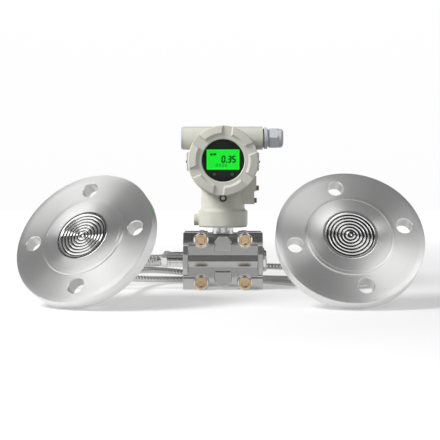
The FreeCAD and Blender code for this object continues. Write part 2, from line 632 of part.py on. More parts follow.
lock_head = turned("lock_head",
                   [(0, -size("lock_screw_shank")),
                    (size("lock_screw_radius"), -size("lock_screw_shank")),
                    (size("lock_screw_radius"), 0), (size("lock_screw_head_radius"), 0),
                    (size("lock_screw_head_radius"), size("lock_screw_head")),
                    (0, size("lock_screw_head"))])
lock_socket = hexagon("lock_socket", size("lock_socket_across"), 2 * size("lock_socket_depth"),
                      z=size("lock_screw_head") - size("lock_socket_depth"))
lock_screw = node(cut("lock_screw", lock_head, lock_socket), "cover_lock_screw")
place(lock_screw, y=-size("lock_boss_front"), z=head + lock_height, turn="-Y")

lug_length = size("lug_reach") - size("stem_radius") - 0.3
lug_blank = cylinder("lug_screw_blank", size("lug_screw_radius"), lug_length)
lug_socket = hexagon("lug_screw_socket_tool", size("lug_screw_socket"), 3, z=lug_length - 2)
lug_screw = node(cut("lug_screw", lug_blank, lug_socket), "rotation_lock_screw")
place(lug_screw, x=-size("stem_radius") - 0.2, z=size("lug_height"), turn="-X")

# ---------------------------------------------------------------- covers and window

cover_back = size("drum_front") + size("cover_gap")
cover_front = size("cover_front")
cover_bore = size("thread_radius") + size("thread_clearance")
glass_seat = cover_front - size("cover_plate")
glass_back = glass_seat - size("glass_thick")
ring_back = glass_back - size("ring_thick")
recess_floor = cover_front - size("recess_drop")
glass_bore = size("glass_radius") + size("glass_clearance")
ring_bore = size("ring_radius") + size("thread_clearance")
front_blank = turned("front_cover_blank",
                     [(cover_bore, cover_back), (size("cover_radius"), cover_back),
                      (size("cover_radius"), cover_front - size("rim_chamfer")),
                      (size("cover_radius") - size("rim_chamfer"), cover_front),
                      (size("recess_radius"), cover_front), (size("recess_radius"), recess_floor),
                      (size("window_radius") + size("window_bevel"), recess_floor),
                      (size("window_radius"), recess_floor - size("window_bevel")),
                      (size("window_radius"), glass_seat), (glass_bore, glass_seat),
                      (glass_bore, glass_back), (ring_bore, glass_back), (ring_bore, ring_back),
                      (cover_bore, ring_back)])


def grip_slots(label, inner, top):
    """Radial slots in a cover's face, between its raised lugs."""
    slots = []
    length = size("cover_radius") + 2 - inner
    for index in range(int(size("slot_count").value)):
        angle = size("slot_angle").value + 360.0 / size("slot_count").value * index
        bar = doc.addObject("Part::Box", "%s_%d" % (label, index))
        bind(bar, "Length", length)
        bind(bar, "Width", size("slot_width"))
        bind(bar, "Height", size("slot_drop") + 1)
        turn = Rotation(Vector(0, 0, 1), angle)
        offset = turn.multVec(Vector(inner.value, -size("slot_width").value / 2, 0))
        bar.Placement = Placement(offset, turn)
        bind(bar, "Placement.Base.z", top - size("slot_drop"))
        slots.append(bar)
    return slots


slots = grip_slots("front_slot", size("window_radius") + size("window_bevel") + 0.8, cover_front)
front_cover = node(cut("front_cover_cut", front_blank, *slots), "front_cover")
place(front_cover, z=head, turn="-Y")

node(turned("glass", [(0, glass_back), (size("glass_radius"), glass_back),
                      (size("glass_radius"), glass_seat), (0, glass_seat)],
            z=head, turn="-Y"), "window_glass")
node(turned("glass_ring", [(size("ring_inner_radius"), ring_back), (size("ring_radius"), ring_back),
                           (size("ring_radius"), glass_back),
                           (size("ring_inner_radius"), glass_back)], z=head, turn="-Y"),
     "window_ring")

rear_back = size("drum_rear") + size("cover_gap")
rear_top = size("rear_cover_back")
rear_floor = rear_top - size("cover_plate")
rear_blank = turned("rear_cover_blank",
                    [(cover_bore, rear_back), (size("cover_radius"), rear_back),
                     (size("cover_radius"), rear_top - size("rim_chamfer")),
                     (size("cover_radius") - size("rim_chamfer"), rear_top),
                     (size("recess_radius"), rear_top),
                     (size("recess_radius"), rear_top - size("recess_drop")),
                     (size("rear_boss_radius") + 1, rear_top - size("recess_drop")),
                     (size("rear_boss_radius"), rear_top - size("recess_drop")
                      + size("rear_boss_rise")),
                     (0, rear_top - size("recess_drop") + size("rear_boss_rise")),
                     (0, rear_floor), (cover_bore, rear_floor)])
rear_slots = grip_slots("rear_slot", size("rear_boss_radius") + 3, rear_top)
rear_cover = node(cut("rear_cover_cut", rear_blank, *rear_slots), "rear_cover")
place(rear_cover, z=head, turn="+Y")

cover_rings = []
for side, seat, turn in ((-1, size("drum_front"), "-Y"), (1, size("drum_rear"), "+Y")):
    ring = doc.addObject("Part::Torus", "cover_ring_" + ("front" if side < 0 else "rear"))
    bind(ring, "Radius1", size("cover_seal_radius"))
    bind(ring, "Radius2", size("cover_gap") * 0.48)
    cover_rings.append(place(ring, y=side * (seat + size("cover_gap") / 2), z=head, turn=turn))
node(group("cover_ring_pair", *cover_rings), "cover_seals")

# ---------------------------------------------------------------- display and electronics

bezel_back = size("bezel_front") - size("bezel_thick")
can_inner = size("can_radius") - size("can_wall")
display_blank = turned("display_blank",
                       [(0, size("can_back")), (size("can_radius"), size("can_back")),
                        (size("can_radius"), bezel_back), (size("bezel_radius"), bezel_back),
                        (size("bezel_radius"), size("bezel_front") - 0.6),
                        (size("bezel_radius") - 0.6, size("bezel_front")),
                        (0, size("bezel_front"))])
lcd_back = size("bezel_front") + size("lcd_rise") - size("lcd_thick")
lcd_pocket = box("lcd_pocket", size("lcd_width") + 2 * size("lcd_gap"),
                 size("lcd_height") + 2 * size("lcd_gap"), size("lcd_thick") + 2, 0, 0, lcd_back)
display_tools = [lcd_pocket]
display_screws = []
for side in (-1, 1):
    name = "left" if side < 0 else "right"
    x = side * size("display_screw_x")
    z = -size("display_screw_z")
    display_tools.append(cylinder("display_bore_" + name, size("display_screw_radius") + 0.1, 20,
                                  x=x, y=z, z=size("bezel_front") - 10))
    display_screws.append(fuse("display_screw_" + name,
                               cylinder("display_head_" + name, size("display_head_radius"),
                                        size("display_head"), x=x, y=-size("bezel_front"),
                                        z=head + z, turn="-Y"),
                               cylinder("display_shank_" + name, size("display_screw_radius"), 9,
                                        x=x, y=-size("bezel_front") + 8.5, z=head + z,
                                        turn="-Y")))
display = node(cut("display_cut", display_blank, *display_tools), "display_module")
place(display, z=head, turn="-Y")
node(box("lcd", size("lcd_width"), size("lcd_thick"), size("lcd_height"), 0,
         -(lcd_back + size("lcd_thick") / 2), head - size("lcd_height") / 2), "display_panel")
node(group("display_screw_pair", *display_screws), "display_screws")

board_back = size("board_front") - size("board_thick")
board_blank = cylinder("board_blank", size("board_radius"), size("board_thick"), z=board_back)
board_chips = [
    box("board_connector", 16, 6, size("can_back") - size("board_front"), 0, -12,
        size("board_front")),
    box("board_chip_large", 12, 12, 1.4, -8, 8, size("board_front")),
    box("board_chip_small", 8, 6, 1.2, 12, 6, size("board_front")),
]
board_solid = fuse("board_solid", board_blank, *board_chips)
posts = []
for index in range(3):
    angle = math.radians(90 + 120 * index)
    x = size("post_circle") * math.cos(angle)
    z = size("post_circle") * math.sin(angle)
    posts.append(cylinder("post_%d" % index, size("post_radius"), board_back - size("wall_front"),
                          x=x, y=-size("wall_front"), z=head + z, turn="-Y"))
board = node(board_solid, "electronics_board")
place(board, z=head, turn="-Y")
node(group("post_set", *posts), "board_posts")

terminal_base = box("terminal_blank", size("terminal_width"), size("terminal_depth"),
                    size("terminal_height"), 0, -wall_back + size("terminal_depth") / 2,
                    head - size("terminal_drop") - size("terminal_height") / 2)
terminal_top = -wall_back + size("terminal_depth")
terminal_tools = []
terminal_screws = []
for index in (-1, 0, 1):
    x = index * size("terminal_pitch")
    terminal_tools.append(cylinder("terminal_well_%d" % (index + 1),
                                   size("terminal_screw_radius") + 1,
                                   size("terminal_recess") + 1, x=x, y=terminal_top + 1,
                                   z=head - size("terminal_drop"), turn="-Y"))
    terminal_tools.append(cylinder("terminal_bore_%d" % (index + 1), 1.9, 11, x=x,
                                   y=terminal_top + 1, z=head - size("terminal_drop"), turn="-Y"))
    well_floor = terminal_top - size("terminal_recess")
    button = cylinder("terminal_head_%d" % (index + 1), size("terminal_screw_radius"),
                      size("terminal_screw_head"), x=x, y=well_floor,
                      z=head - size("terminal_drop"), turn="+Y")
    shank = cylinder("terminal_shank_%d" % (index + 1), 1.8, 8, x=x, y=well_floor - 7,
                     z=head - size("terminal_drop"), turn="+Y")
    terminal_screws.append(fuse("terminal_screw_%d" % (index + 1), button, shank))
node(cut("terminal_cut", terminal_base, *terminal_tools), "terminal_block")
node(group("terminal_screw_set", *terminal_screws), "terminal_screws")

# ---------------------------------------------------------------- conduit entries

arm_axis = head + size("arm_height")
arm_end = size("arm_reach")
entry_radius = size("conduit_radius") - size("thread_gap")
node(turned("blank_plug",
            [(0, -size("blank_spigot")), (entry_radius, -size("blank_spigot")), (entry_radius, 0),
             (size("blank_radius"), 0), (size("blank_radius"), size("blank_head") - 0.8),
             (size("blank_radius") - 0.8, size("blank_head")), (0, size("blank_head"))],
            x=-arm_end, z=arm_axis, turn="-X"), "conduit_plug")

washer_end = size("gland_neck")
ring_end = washer_end + size("gland_ring")
groove_end = ring_end + size("gland_groove")
nut_face = groove_end + size("gland_nut")
gland_end = nut_face + size("gland_dome")
body_thread = size("gland_groove_radius") - 1.8
node(turned("gland_washer_ring",
            [(entry_radius + 0.3, 0), (size("gland_neck_radius"), 0),
             (size("gland_neck_radius"), washer_end), (entry_radius + 0.3, washer_end)],
            x=arm_end, z=arm_axis, turn="+X"), "gland_washer")
pocket_start = ring_end
pocket_end = nut_face - 1
node(turned("gland_core",
            [(size("gland_bore_radius"), -size("blank_spigot")),
             (entry_radius, -size("blank_spigot")), (entry_radius, washer_end),
             (size("gland_ring_radius"), washer_end), (size("gland_ring_radius"), ring_end),
             (size("gland_groove_radius"), ring_end), (size("gland_groove_radius"), groove_end - 0.3),
             (body_thread, groove_end - 0.3), (body_thread, pocket_end),
             (size("gland_seal_radius") + 0.2, pocket_end),
             (size("gland_seal_radius") + 0.2, pocket_start),
             (size("gland_bore_radius"), pocket_start)],
            x=arm_end, z=arm_axis, turn="+X"), "gland_body")
node(turned("gland_rubber",
            [(size("cable_bore_radius"), pocket_start + 0.2),
             (size("gland_seal_radius"), pocket_start + 0.2),
             (size("gland_seal_radius"), pocket_end), (size("cable_bore_radius"), pocket_end)],
            x=arm_end, z=arm_axis, turn="+X"), "gland_seal")
cap_bore = body_thread + size("thread_clearance")
cap_form = turned("gland_cap_form",
                  [(0, groove_end), (size("gland_nut_across") * 0.58, groove_end),
                   (size("gland_nut_across") * 0.58, nut_face - 1),
                   (size("gland_dome_radius"), nut_face),
                   (size("gland_dome_radius"), gland_end - size("gland_dome_edge")),
                   (size("gland_dome_radius") - 1, gland_end - size("gland_dome_edge") * 0.4),
                   (size("gland_dome_radius") - size("gland_dome_edge"), gland_end),
                   (0, gland_end)])
cap_hexagon = hexagon("gland_cap_hexagon", size("gland_nut_across"), gland_end)
cap_hollow = turned("gland_cap_hollow",
                    [(0, groove_end - 1), (cap_bore, groove_end - 1), (cap_bore, nut_face),
                     (size("gland_mouth_radius"), gland_end - 2),
                     (size("gland_mouth_radius"), gland_end + 1), (0, gland_end + 1)])
cap_nut = node(cut("gland_cap", common("gland_cap_solid", cap_form, cap_hexagon), cap_hollow),
               "gland_nut")
place(cap_nut, x=arm_end, z=arm_axis, turn="+X")

# ---------------------------------------------------------------- remote seals


def seal_placement(side, tilt, turn, spin, x, y):
    """The seal stands on its back rim, its face leaning back and turned outwards."""
    lean = math.radians(tilt.value)
    rise = (size("seal_thick").value - size("rim_break").value) * math.sin(lean)
    rise += size("seal_radius").value * math.cos(lean)
    rotation = Rotation(Vector(0, 0, 1), side * turn.value)
    rotation = rotation * Rotation(Vector(1, 0, 0), -tilt.value) * TURNS["-Y"]
    rotation = rotation * Rotation(Vector(0, 0, 1), spin.value)
    return Placement(Vector(x.value, y.value, rise), rotation)


def remote_seal(name, placement):
    """Own frame: flange face on Z = 0, raised face towards +Z."""
    back = -size("seal_thick")
    breaks = size("rim_break")
    seat_floor = size("face_rise") - size("seat_depth")
    blank = turned("seal_blank_" + name,
                   [(size("fill_bore_radius"), back), (size("seal_radius") - breaks, back),
                    (size("seal_radius"), back + breaks), (size("seal_radius"), -breaks),
                    (size("seal_radius") - breaks, 0), (size("face_radius"), 0),
                    (size("face_radius"), size("face_rise") - size("face_bevel")),
                    (size("face_bevel_radius"), size("face_rise")),
                    (size("seat_radius"), size("face_rise")), (size("seat_radius"), seat_floor),
                    (size("fill_bore_radius"), seat_floor)])
    holes = []
    for index in range(int(size("hole_count").value)):
        angle = math.radians(360.0 / size("hole_count").value * index)
        holes.append(cylinder("seal_hole_%s_%d" % (name, index), size("seal_hole_radius"),
                              3 * size("seal_thick"), x=size("seal_circle") * math.cos(angle),
                              y=size("seal_circle") * math.sin(angle), z=2 * back))
    flange = node(cut("seal_flange_cut_" + name, blank, *holes), "seal_flange_" + name)
    rim = size("diaphragm_radius") - size("diaphragm_rim")
    top = size("face_rise")
    steps = 2 * int(size("wave_count").value)
    waves = []
    for index in range(steps + 1):
        radius = size("wave_centre") + (rim - size("wave_centre")) * (index / steps)
        waves.append((radius, top - size("wave_rise") * (index % 2)))
    under = [(radius, height - size("diaphragm_thick")) for radius, height in reversed(waves)]
    sheet_metal = turned("diaphragm_sheet_" + name,
                         [(0, top - size("diaphragm_thick")), (0, top)] + waves
                         + [(size("diaphragm_radius"), top),
                            (size("diaphragm_radius"), seat_floor), (rim + 1, seat_floor),
                            (rim + 1, top - size("diaphragm_thick"))] + under)
    diaphragm = node(sheet_metal, "seal_diaphragm_" + name)
    hub_end = back - size("hub_height")
    tube_end = hub_end - size("tube_length")
    hub = node(turned("seal_hub_" + name,
                      [(size("fill_bore_radius"), back), (size("hub_radius"), back),
                       (size("hub_radius"), hub_end + 2), (size("hub_radius") - 2, hub_end),
                       (size("tube_radius"), hub_end), (size("tube_radius"), tube_end),
                       (size("fill_bore_radius"), tube_end)]), "seal_neck_" + name)
    for item in (flange, diaphragm, hub):
        item.Placement = placement
    return placement.multVec(Vector(0, 0, tube_end.value))


left_end = remote_seal("left", seal_placement(-1, size("left_tilt"), size("left_turn"),
                                              size("left_spin"), -size("left_x"),
                                              -size("left_y")))
right_end = remote_seal("right", seal_placement(1, size("right_tilt"), size("right_turn"),
                                                size("right_spin"), size("right_x"),
                                                -size("right_y")))
print("left seal tube ends at", left_end)
print("right seal tube ends at", right_end)

# ---------------------------------------------------------------- armoured capillary hoses

hose_start = nut_end.value
LEFT_HOSE = [
    (-hose_start, -port_y.value, block_axis.value), (-118, -27, 36), (-160, -33, 27),
    (-202, -24, 14), (-230, 10, 6.5), (-222, 54, 4.25), (-184, 80, 4.25), (-138, 74, 4.25),
    (-92, 57, 4.25), (-50, 56, 4.25), (-10, 70, 4.25), (30, 76, 4.25), (62, 70, 4.25),
    (98, 62, 4.25), (132, 73, 4.25), (167, 74, 4.25), (195, 54, 4.25), (205, 20, 4.25),
    (191, -13, 4.25), (161, -31, 4.25), (126, -26, 4.25), (99, 3.5, 4.25), (70, 30, 4.25),
    (36, 54, 4.25), (-8, 55, 6.5), (-54, 51, 14.5), (-92, 38, 19), (-114, 2, 21.5),
    (-117, -36, 20), (-121, -74, 18), (-124.8, -109.1, 23.2),
    (left_end.x, left_end.y, left_end.z),
]
RIGHT_HOSE = [
    (-hose_start, port_y.value, block_axis.value), (-118, 26, 36.2), (-152, 12, 34.5),
    (-187, 7, 32), (-217, 24, 28), (-231, 57, 24), (-222, 90, 20), (-194, 112, 18),
    (-159, 112, 18), (-131, 91, 21), (-94, 64, 25), (-50, 52, 28), (0, 51, 26), (48, 51, 23),
    (92, 52, 21.5), (126, 44, 19.5), (150, 17, 17.5), (154, -18, 17), (148, -52, 17),
    (140.5, -80, 18.5), (139.8, -104.2, 26.2), (right_end.x, right_end.y, right_end.z),
]


def hose(label, route):
    """Straight runs joined by tangent arcs, swept with the hose's round section."""
    points = [Vector(*point) for point in route]
    edges = []
    start = points[0]
    radii = []
    for before, corner, after in zip(points, points[1:], points[2:]):
        inward = (corner - before).normalize()
        outward = (after - corner).normalize()
        half = inward.getAngle(outward) / 2
        reach = 0.45 * min((corner - before).Length, (after - corner).Length)
        radii.append(reach / math.tan(half))
        first = corner - inward * reach
        last = corner + outward * reach
        towards = (outward - inward).normalize()
        middle = corner + towards * (radii[-1] / math.cos(half) - radii[-1])
        edges.append(Part.LineSegment(start, first).toShape())
        edges.append(Part.Arc(first, middle, last).toShape())
        start = last
    edges.append(Part.LineSegment(start, points[-1]).toShape())
    spine = Part.Wire(edges)
    heading = (points[1] - points[0]).normalize()
    section = Part.Wire([Part.makeCircle(size("hose_radius").value, points[0], heading)])
    item = doc.addObject("Part::Feature", label + "_tube")
    item.Shape = spine.makePipeShell([section], True, True)
    item.Placement = Placement()
    area = math.pi * size("hose_radius").value ** 2
    print(label, "length", round(spine.Length, 1), "least radius", round(min(radii), 1),
          "volume ratio", round(item.Shape.Volume / (area * spine.Length), 4))
    print("   radii", [round(radius) for radius in radii])
    return node(item, label)


hose("capillary_hose_left", LEFT_HOSE)
hose("capillary_hose_right", RIGHT_HOSE)

# ---------------------------------------------------------------- frame, check and write

doc.recompute()
footprint = FreeCAD.BoundBox()
for item in nodes:
    if not item.Label.startswith("capillary_hose"):
        footprint.add(item.Shape.optimalBoundingBox(False, False))
centre = Vector(footprint.Center.x, footprint.Center.y, 0)
for item in nodes:
    item.Placement = Placement(-centre, Rotation())
doc.recompute()
print("sensor axis stands at x %.3f y %.3f" % (-centre.x, -centre.y))

for item in doc.Objects:
    if "Invalid" in item.State or "Error" in item.State:
        raise RuntimeError("%s: %s" % (item.Label, item.State))
os.makedirs("parts", exist_ok=True)
for item in nodes:
    shape = item.Shape
    if shape.isNull() or not shape.isValid() or not shape.Solids:
        raise RuntimeError("%s has no sound solid" % item.Label)
    shape.exportStep("parts/%s.step" % item.Label)
    bounds = shape.BoundBox
    print("%-24s solids %d  volume %9.0f  x %.1f..%.1f  y %.1f..%.1f  z %.1f..%.1f" % (
        item.Label, len(shape.Solids), shape.Volume, bounds.XMin, bounds.XMax, bounds.YMin,
        bounds.YMax, bounds.ZMin, bounds.ZMax))
print(len(nodes), "nodes written")
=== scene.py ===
import json
import math
import bpy
from mathutils import Matrix, Vector


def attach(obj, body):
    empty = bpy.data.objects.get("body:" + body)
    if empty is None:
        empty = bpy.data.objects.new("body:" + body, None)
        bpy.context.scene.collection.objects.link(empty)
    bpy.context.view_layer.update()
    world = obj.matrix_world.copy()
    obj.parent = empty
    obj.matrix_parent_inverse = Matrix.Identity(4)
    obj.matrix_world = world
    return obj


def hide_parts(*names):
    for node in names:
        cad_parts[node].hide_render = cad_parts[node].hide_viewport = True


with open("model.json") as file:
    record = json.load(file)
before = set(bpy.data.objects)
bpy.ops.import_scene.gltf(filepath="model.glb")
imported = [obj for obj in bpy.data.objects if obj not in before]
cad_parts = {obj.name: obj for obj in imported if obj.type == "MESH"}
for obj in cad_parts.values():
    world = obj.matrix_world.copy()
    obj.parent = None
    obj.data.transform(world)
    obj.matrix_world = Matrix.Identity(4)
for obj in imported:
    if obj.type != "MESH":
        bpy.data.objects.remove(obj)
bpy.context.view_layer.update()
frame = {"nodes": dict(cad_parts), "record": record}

nodes = frame["nodes"]
scene = bpy.context.scene
mm = 0.001
sensorAxis = Vector((5.356, 85.530, 0)) * mm   # the upright axis of the transmitter, in the object's frame
headHeight = 164.3                             # cover axis above the floor, mm
blockAxis = 36.4                               # middle of the process flanges
lockHeight = 117.2                             # axis of the cover lock screw
portReach = 26.0                               # hose ports in front of and behind the axis
print("frame loaded, parts:", len(nodes))


def newNode(tree, kind, **settings):
    node = tree.nodes.new("ShaderNode" + kind)
    for key, value in settings.items():
        setattr(node, key, value)
    return node


def place(x, y, z):
    return sensorAxis + Vector((x, y, z)) * mm


# camera: x to the right, y away from the viewer, z up, in mm from the sensor axis
cameraSet = {"x": -3.84, "y": -1164.0, "z": 130.0, "lens": 72.41, "sensor": 36.0, "shiftY": -0.0727}
bpy.ops.object.camera_add(location=place(cameraSet["x"], cameraSet["y"], cameraSet["z"]),
                          rotation=(math.pi / 2, 0, 0))
camera = bpy.context.object
camera.data.lens = cameraSet["lens"]
camera.data.sensor_width = cameraSet["sensor"]
camera.data.shift_y = cameraSet["shiftY"]
scene.camera = camera
scene.view_settings.view_transform = "Standard"

# azimuth 0 is on the camera's side, 90 on the right; radiance 1 is white
lampSet = {
    "leftBox": {"azimuth": 314, "elevation": 38, "away": 1.7, "wide": 0.90, "tall": 0.75, "radiance": 2.45,
                "onMetal": True},
    "rightBox": {"azimuth": 41, "elevation": 38, "away": 1.7, "wide": 0.90, "tall": 0.70, "radiance": 2.3,
                 "onMetal": True},
    "backBox": {"azimuth": 232, "elevation": 56, "away": 1.8, "wide": 1.10, "tall": 0.80, "radiance": 1.2,
                "onMetal": True},
    "topFill": {"azimuth": 292, "elevation": 42, "away": 1.8, "wide": 0.65, "tall": 0.65, "radiance": 24.5,
                "onMetal": False},
}
for name, lamp in lampSet.items():
    turn, rise = math.radians(lamp["azimuth"]), math.radians(lamp["elevation"])
    out = Vector((math.sin(turn) * math.cos(rise), -math.cos(turn) * math.cos(rise), math.sin(rise)))
    bpy.ops.object.light_add(type="AREA", location=out * lamp["away"] + Vector((0, 0, 0.08)))
    light = bpy.context.object
    light.name = name
    light.rotation_euler = out.to_track_quat("Z", "Y").to_euler()
    light.data.shape = "RECTANGLE"
    light.data.size, light.data.size_y = lamp["wide"], lamp["tall"]
    light.data.energy = lamp["radiance"] * math.pi * lamp["wide"] * lamp["tall"]
    light.visible_camera = False
    light.visible_glossy = lamp["onMetal"]

# pale studio: white round the horizon and darker overhead; the camera's side is dimmer in reflections only
studioSet = {"ambient": 0.15, "frontAz": 0.80, "frontShare": 0.36,
             "stops": ((0.0, 0.9), (0.605, 1.0), (0.66, 0.45), (0.72, 0.22), (0.79, 0.05), (0.88, 0.04),
                       (0.96, 0.26), (1.0, 0.34))}
world = bpy.data.worlds.new("studio")
scene.world = world
world.use_nodes = True
world.cycles.sampling_method = "NONE"
tree = world.node_tree
seen = tree.nodes["Background"]
seen.inputs["Strength"].default_value = 1.0
even = newNode(tree, "Background")
even.inputs["Color"].default_value = (1.0, 1.0, 1.0, 1)
even.inputs["Strength"].default_value = studioSet["ambient"]
direction = newNode(tree, "TexCoord")
split = newNode(tree, "SeparateXYZ")
lift = newNode(tree, "MapRange")
lift.inputs["From Min"].default_value = -1.0
ramp = newNode(tree, "ValToRGB")
stops = studioSet["stops"]
for index in (0, -1):
    spot, level = stops[index]
    ramp.color_ramp.elements[index].position = spot
    ramp.color_ramp.elements[index].color = (level, level, level, 1)
for spot, level in stops[1:-1]:
    ramp.color_ramp.elements.new(spot).color = (level, level, level, 1)
front = tree.nodes.new("ShaderNodeMapRange")   # 1 towards the camera's side, 0 elsewhere
front.interpolation_type = "SMOOTHSTEP"
front.inputs["From Min"].default_value = -studioSet["frontAz"] + 0.05
front.inputs["From Max"].default_value = -studioSet["frontAz"] - 0.12
notSeen = newNode(tree, "Math", operation="SUBTRACT", use_clamp=True)
dim = newNode(tree, "Mix", data_type="RGBA", blend_type="MULTIPLY")
path = newNode(tree, "LightPath")
addGlossy = newNode(tree, "Math")
addClear = newNode(tree, "Math", use_clamp=True)
either = newNode(tree, "MixShader")
link = tree.links.new
link(direction.outputs["Generated"], split.inputs[0])
link(split.outputs["Z"], lift.inputs["Value"])
link(lift.outputs["Result"], ramp.inputs["Fac"])
link(split.outputs["Y"], front.inputs["Value"])
link(front.outputs["Result"], notSeen.inputs[0])
link(path.outputs["Is Camera Ray"], notSeen.inputs[1])
link(notSeen.outputs[0], dim.inputs[0])
link(ramp.outputs["Color"], dim.inputs[6])
dim.inputs[7].default_value = (*[studioSet["frontShare"]] * 3, 1)
link(dim.outputs[2], seen.inputs["Color"])
link(path.outputs["Is Camera Ray"], addGlossy.inputs[0])
link(path.outputs["Is Glossy Ray"], addGlossy.inputs[1])
link(addGlossy.outputs[0], addClear.inputs[0])
link(path.outputs["Is Transmission Ray"], addClear.inputs[1])
link(addClear.outputs[0], either.inputs["Fac"])
link(even.outputs[0], either.inputs[1])
link(seen.outputs[0], either.inputs[2])
link(either.outputs[0], tree.nodes["World Output"].inputs["Surface"])
print("camera, lamps and studio set")


def deselectAll():
    if bpy.context.mode != "OBJECT":
        bpy.ops.object.mode_set(mode="OBJECT")
    bpy.ops.object.select_all(action="DESELECT")


def pick(piece):
    deselectAll()
    piece.select_set(True)
    bpy.context.view_layer.objects.active = piece


def editing(piece, kind="VERT"):
    pick(piece)
    bpy.ops.object.mode_set(mode="EDIT")
    bpy.ops.mesh.select_mode(type=kind)


def selectWhere(piece, test):
    # picks faces in code, by their middle and their direction
    bpy.ops.mesh.select_all(action="DESELECT")
    bpy.ops.object.mode_set(mode="OBJECT")
    for face in piece.data.polygons:
        face.select = bool(test(face.center / mm, face.normal))
    bpy.ops.object.mode_set(mode="EDIT")


def tidyMesh(piece):
    editing(piece)
    bpy.ops.mesh.select_all(action="SELECT")
    bpy.ops.mesh.remove_doubles(threshold=0.000002)
    bpy.ops.mesh.select_all(action="DESELECT")
    bpy.ops.mesh.select_non_manifold(extend=False, use_multi_face=False, use_non_contiguous=False,
                                     use_verts=False, use_wire=False)
    bpy.ops.mesh.edge_face_add()
    bpy.ops.mesh.select_all(action="SELECT")
    bpy.ops.mesh.normals_make_consistent(inside=False)
    bpy.ops.object.mode_set(mode="OBJECT")


def smoothed(piece, angle=32):
    pick(piece)
    if piece.data.has_custom_normals:
        bpy.ops.mesh.customdata_custom_splitnormals_clear()
    bpy.ops.object.shade_smooth_by_angle(angle=math.radians(angle))
    return piece


def applied(piece, kind, **settings):
    pick(piece)
    modifier = piece.modifiers.new(kind.lower(), kind)
    for key, value in settings.items():
        setattr(modifier, key, value)
    bpy.ops.object.modifier_apply(modifier=modifier.name)
    return piece


def flatKept(piece, angle):
    # smooth edges, with large faces shaded flat
    return applied(smoothed(piece, angle), "WEIGHTED_NORMAL", keep_sharp=True, weight=100)


def eased(piece, width, segments=2, angle=30):
    # soft edges, as cast or deburred
    applied(piece, "BEVEL", width=width * mm, segments=segments, limit_method="ANGLE",
            angle_limit=math.radians(angle), miter_outer="MITER_ARC", use_clamp_overlap=True)
    return flatKept(piece, 40)


def cutAway(piece, *tools):
    for tool in tools:
        applied(piece, "BOOLEAN", operation="DIFFERENCE", object=tool, solver="MANIFOLD")
        bpy.data.objects.remove(tool)
    return piece


def keptInside(piece, tool):
    applied(piece, "BOOLEAN", operation="INTERSECT", object=tool, solver="MANIFOLD")
    bpy.data.objects.remove(tool)
    return piece


def joined(name, *pieces):
    deselectAll()
    for piece in pieces:
        piece.select_set(True)
    bpy.context.view_layer.objects.active = pieces[0]
    if len(pieces) > 1:
        bpy.ops.object.join()
    pieces[0].name = pieces[0].data.name = name
    return pieces[0]


def copied(piece):
    pick(piece)
    bpy.ops.object.duplicate(linked=False)
    return bpy.context.object


def settle(piece, matrix):
    # the place goes into the mesh, and the object stays at the origin
    pick(piece)
    piece.matrix_world = matrix @ piece.matrix_world
    bpy.ops.object.transform_apply(location=True, rotation=True, scale=True)
    return piece


facingTurns = {"+Z": Matrix(), "-Z": Matrix.Rotation(math.pi, 4, "X"),
               "-Y": Matrix.Rotation(math.pi / 2, 4, "X"), "+Y": Matrix.Rotation(-math.pi / 2, 4, "X"),
               "+X": Matrix.Rotation(math.pi / 2, 4, "Y"), "-X": Matrix.Rotation(-math.pi / 2, 4, "Y")}


def facing(side, x, y, z, spin=0.0):
    return (Matrix.Translation(place(x, y, z)) @ facingTurns[side]
            @ Matrix.Rotation(math.radians(spin), 4, "Z"))


def turnedPiece(name, rings, sides=96, loop=False):
    # a circle drawn out ring by ring, as on a lathe; rings are (radius, height) in mm
    deselectAll()
    radius, height = rings[0]
    bpy.ops.mesh.primitive_circle_add(vertices=sides, radius=radius * mm, fill_type="NOTHING",
                                      location=(0, 0, 0))
    piece = bpy.context.object
    piece.name = piece.data.name = name
    editing(piece)
    bpy.ops.mesh.select_all(action="SELECT")
    bpy.ops.transform.translate(value=(0, 0, height * mm))
    for nextRadius, nextHeight in list(rings[1:]) + ([rings[0]] if loop else []):
        bpy.ops.mesh.extrude_region_move(
            TRANSFORM_OT_translate={"value": (0, 0, (nextHeight - height) * mm)})
        if nextRadius > 0:
            share = nextRadius / radius
            bpy.ops.transform.resize(value=(share, share, 1), center_override=(0, 0, 0))
        else:
            bpy.ops.mesh.merge(type="CENTER")
        radius, height = nextRadius, nextHeight
    tidyMesh(piece)
    return smoothed(piece)


def hexPrism(name, across, low, high):
    deselectAll()
    bpy.ops.mesh.primitive_cylinder_add(vertices=6, radius=across / math.sqrt(3) * mm,
                                        depth=(high - low) * mm, location=(0, 0, (low + high) / 2 * mm))
    piece = bpy.context.object
    bpy.ops.object.transform_apply(location=True, rotation=True, scale=True)
    piece.name = piece.data.name = name
    return piece


def blockPiece(name, wide, deep, tall, x, y, z):
    deselectAll()
    bpy.ops.mesh.primitive_cube_add(size=1, location=(x * mm, y * mm, z * mm))
    piece = bpy.context.object
    piece.scale = (wide * mm, deep * mm, tall * mm)
    bpy.ops.object.transform_apply(location=True, rotation=True, scale=True)
    piece.name = piece.data.name = name
    return piece


def castCopy(name, node, width, segments=3, angle=28):
    # a merged copy of a cast part, its edges eased
    pick(nodes[node])
    bpy.ops.object.duplicate(linked=False)
    piece = bpy.context.object
    piece.parent = None
    for key in list(piece.keys()):
        del piece[key]
    piece.name = piece.data.name = name
    piece.data.materials.clear()
    editing(piece)
    bpy.ops.mesh.select_all(action="SELECT")
    bpy.ops.mesh.remove_doubles(threshold=0.000004)
    bpy.ops.mesh.dissolve_limited(angle_limit=math.radians(0.8))
    bpy.ops.object.mode_set(mode="OBJECT")
    return eased(piece, width, segments, angle)


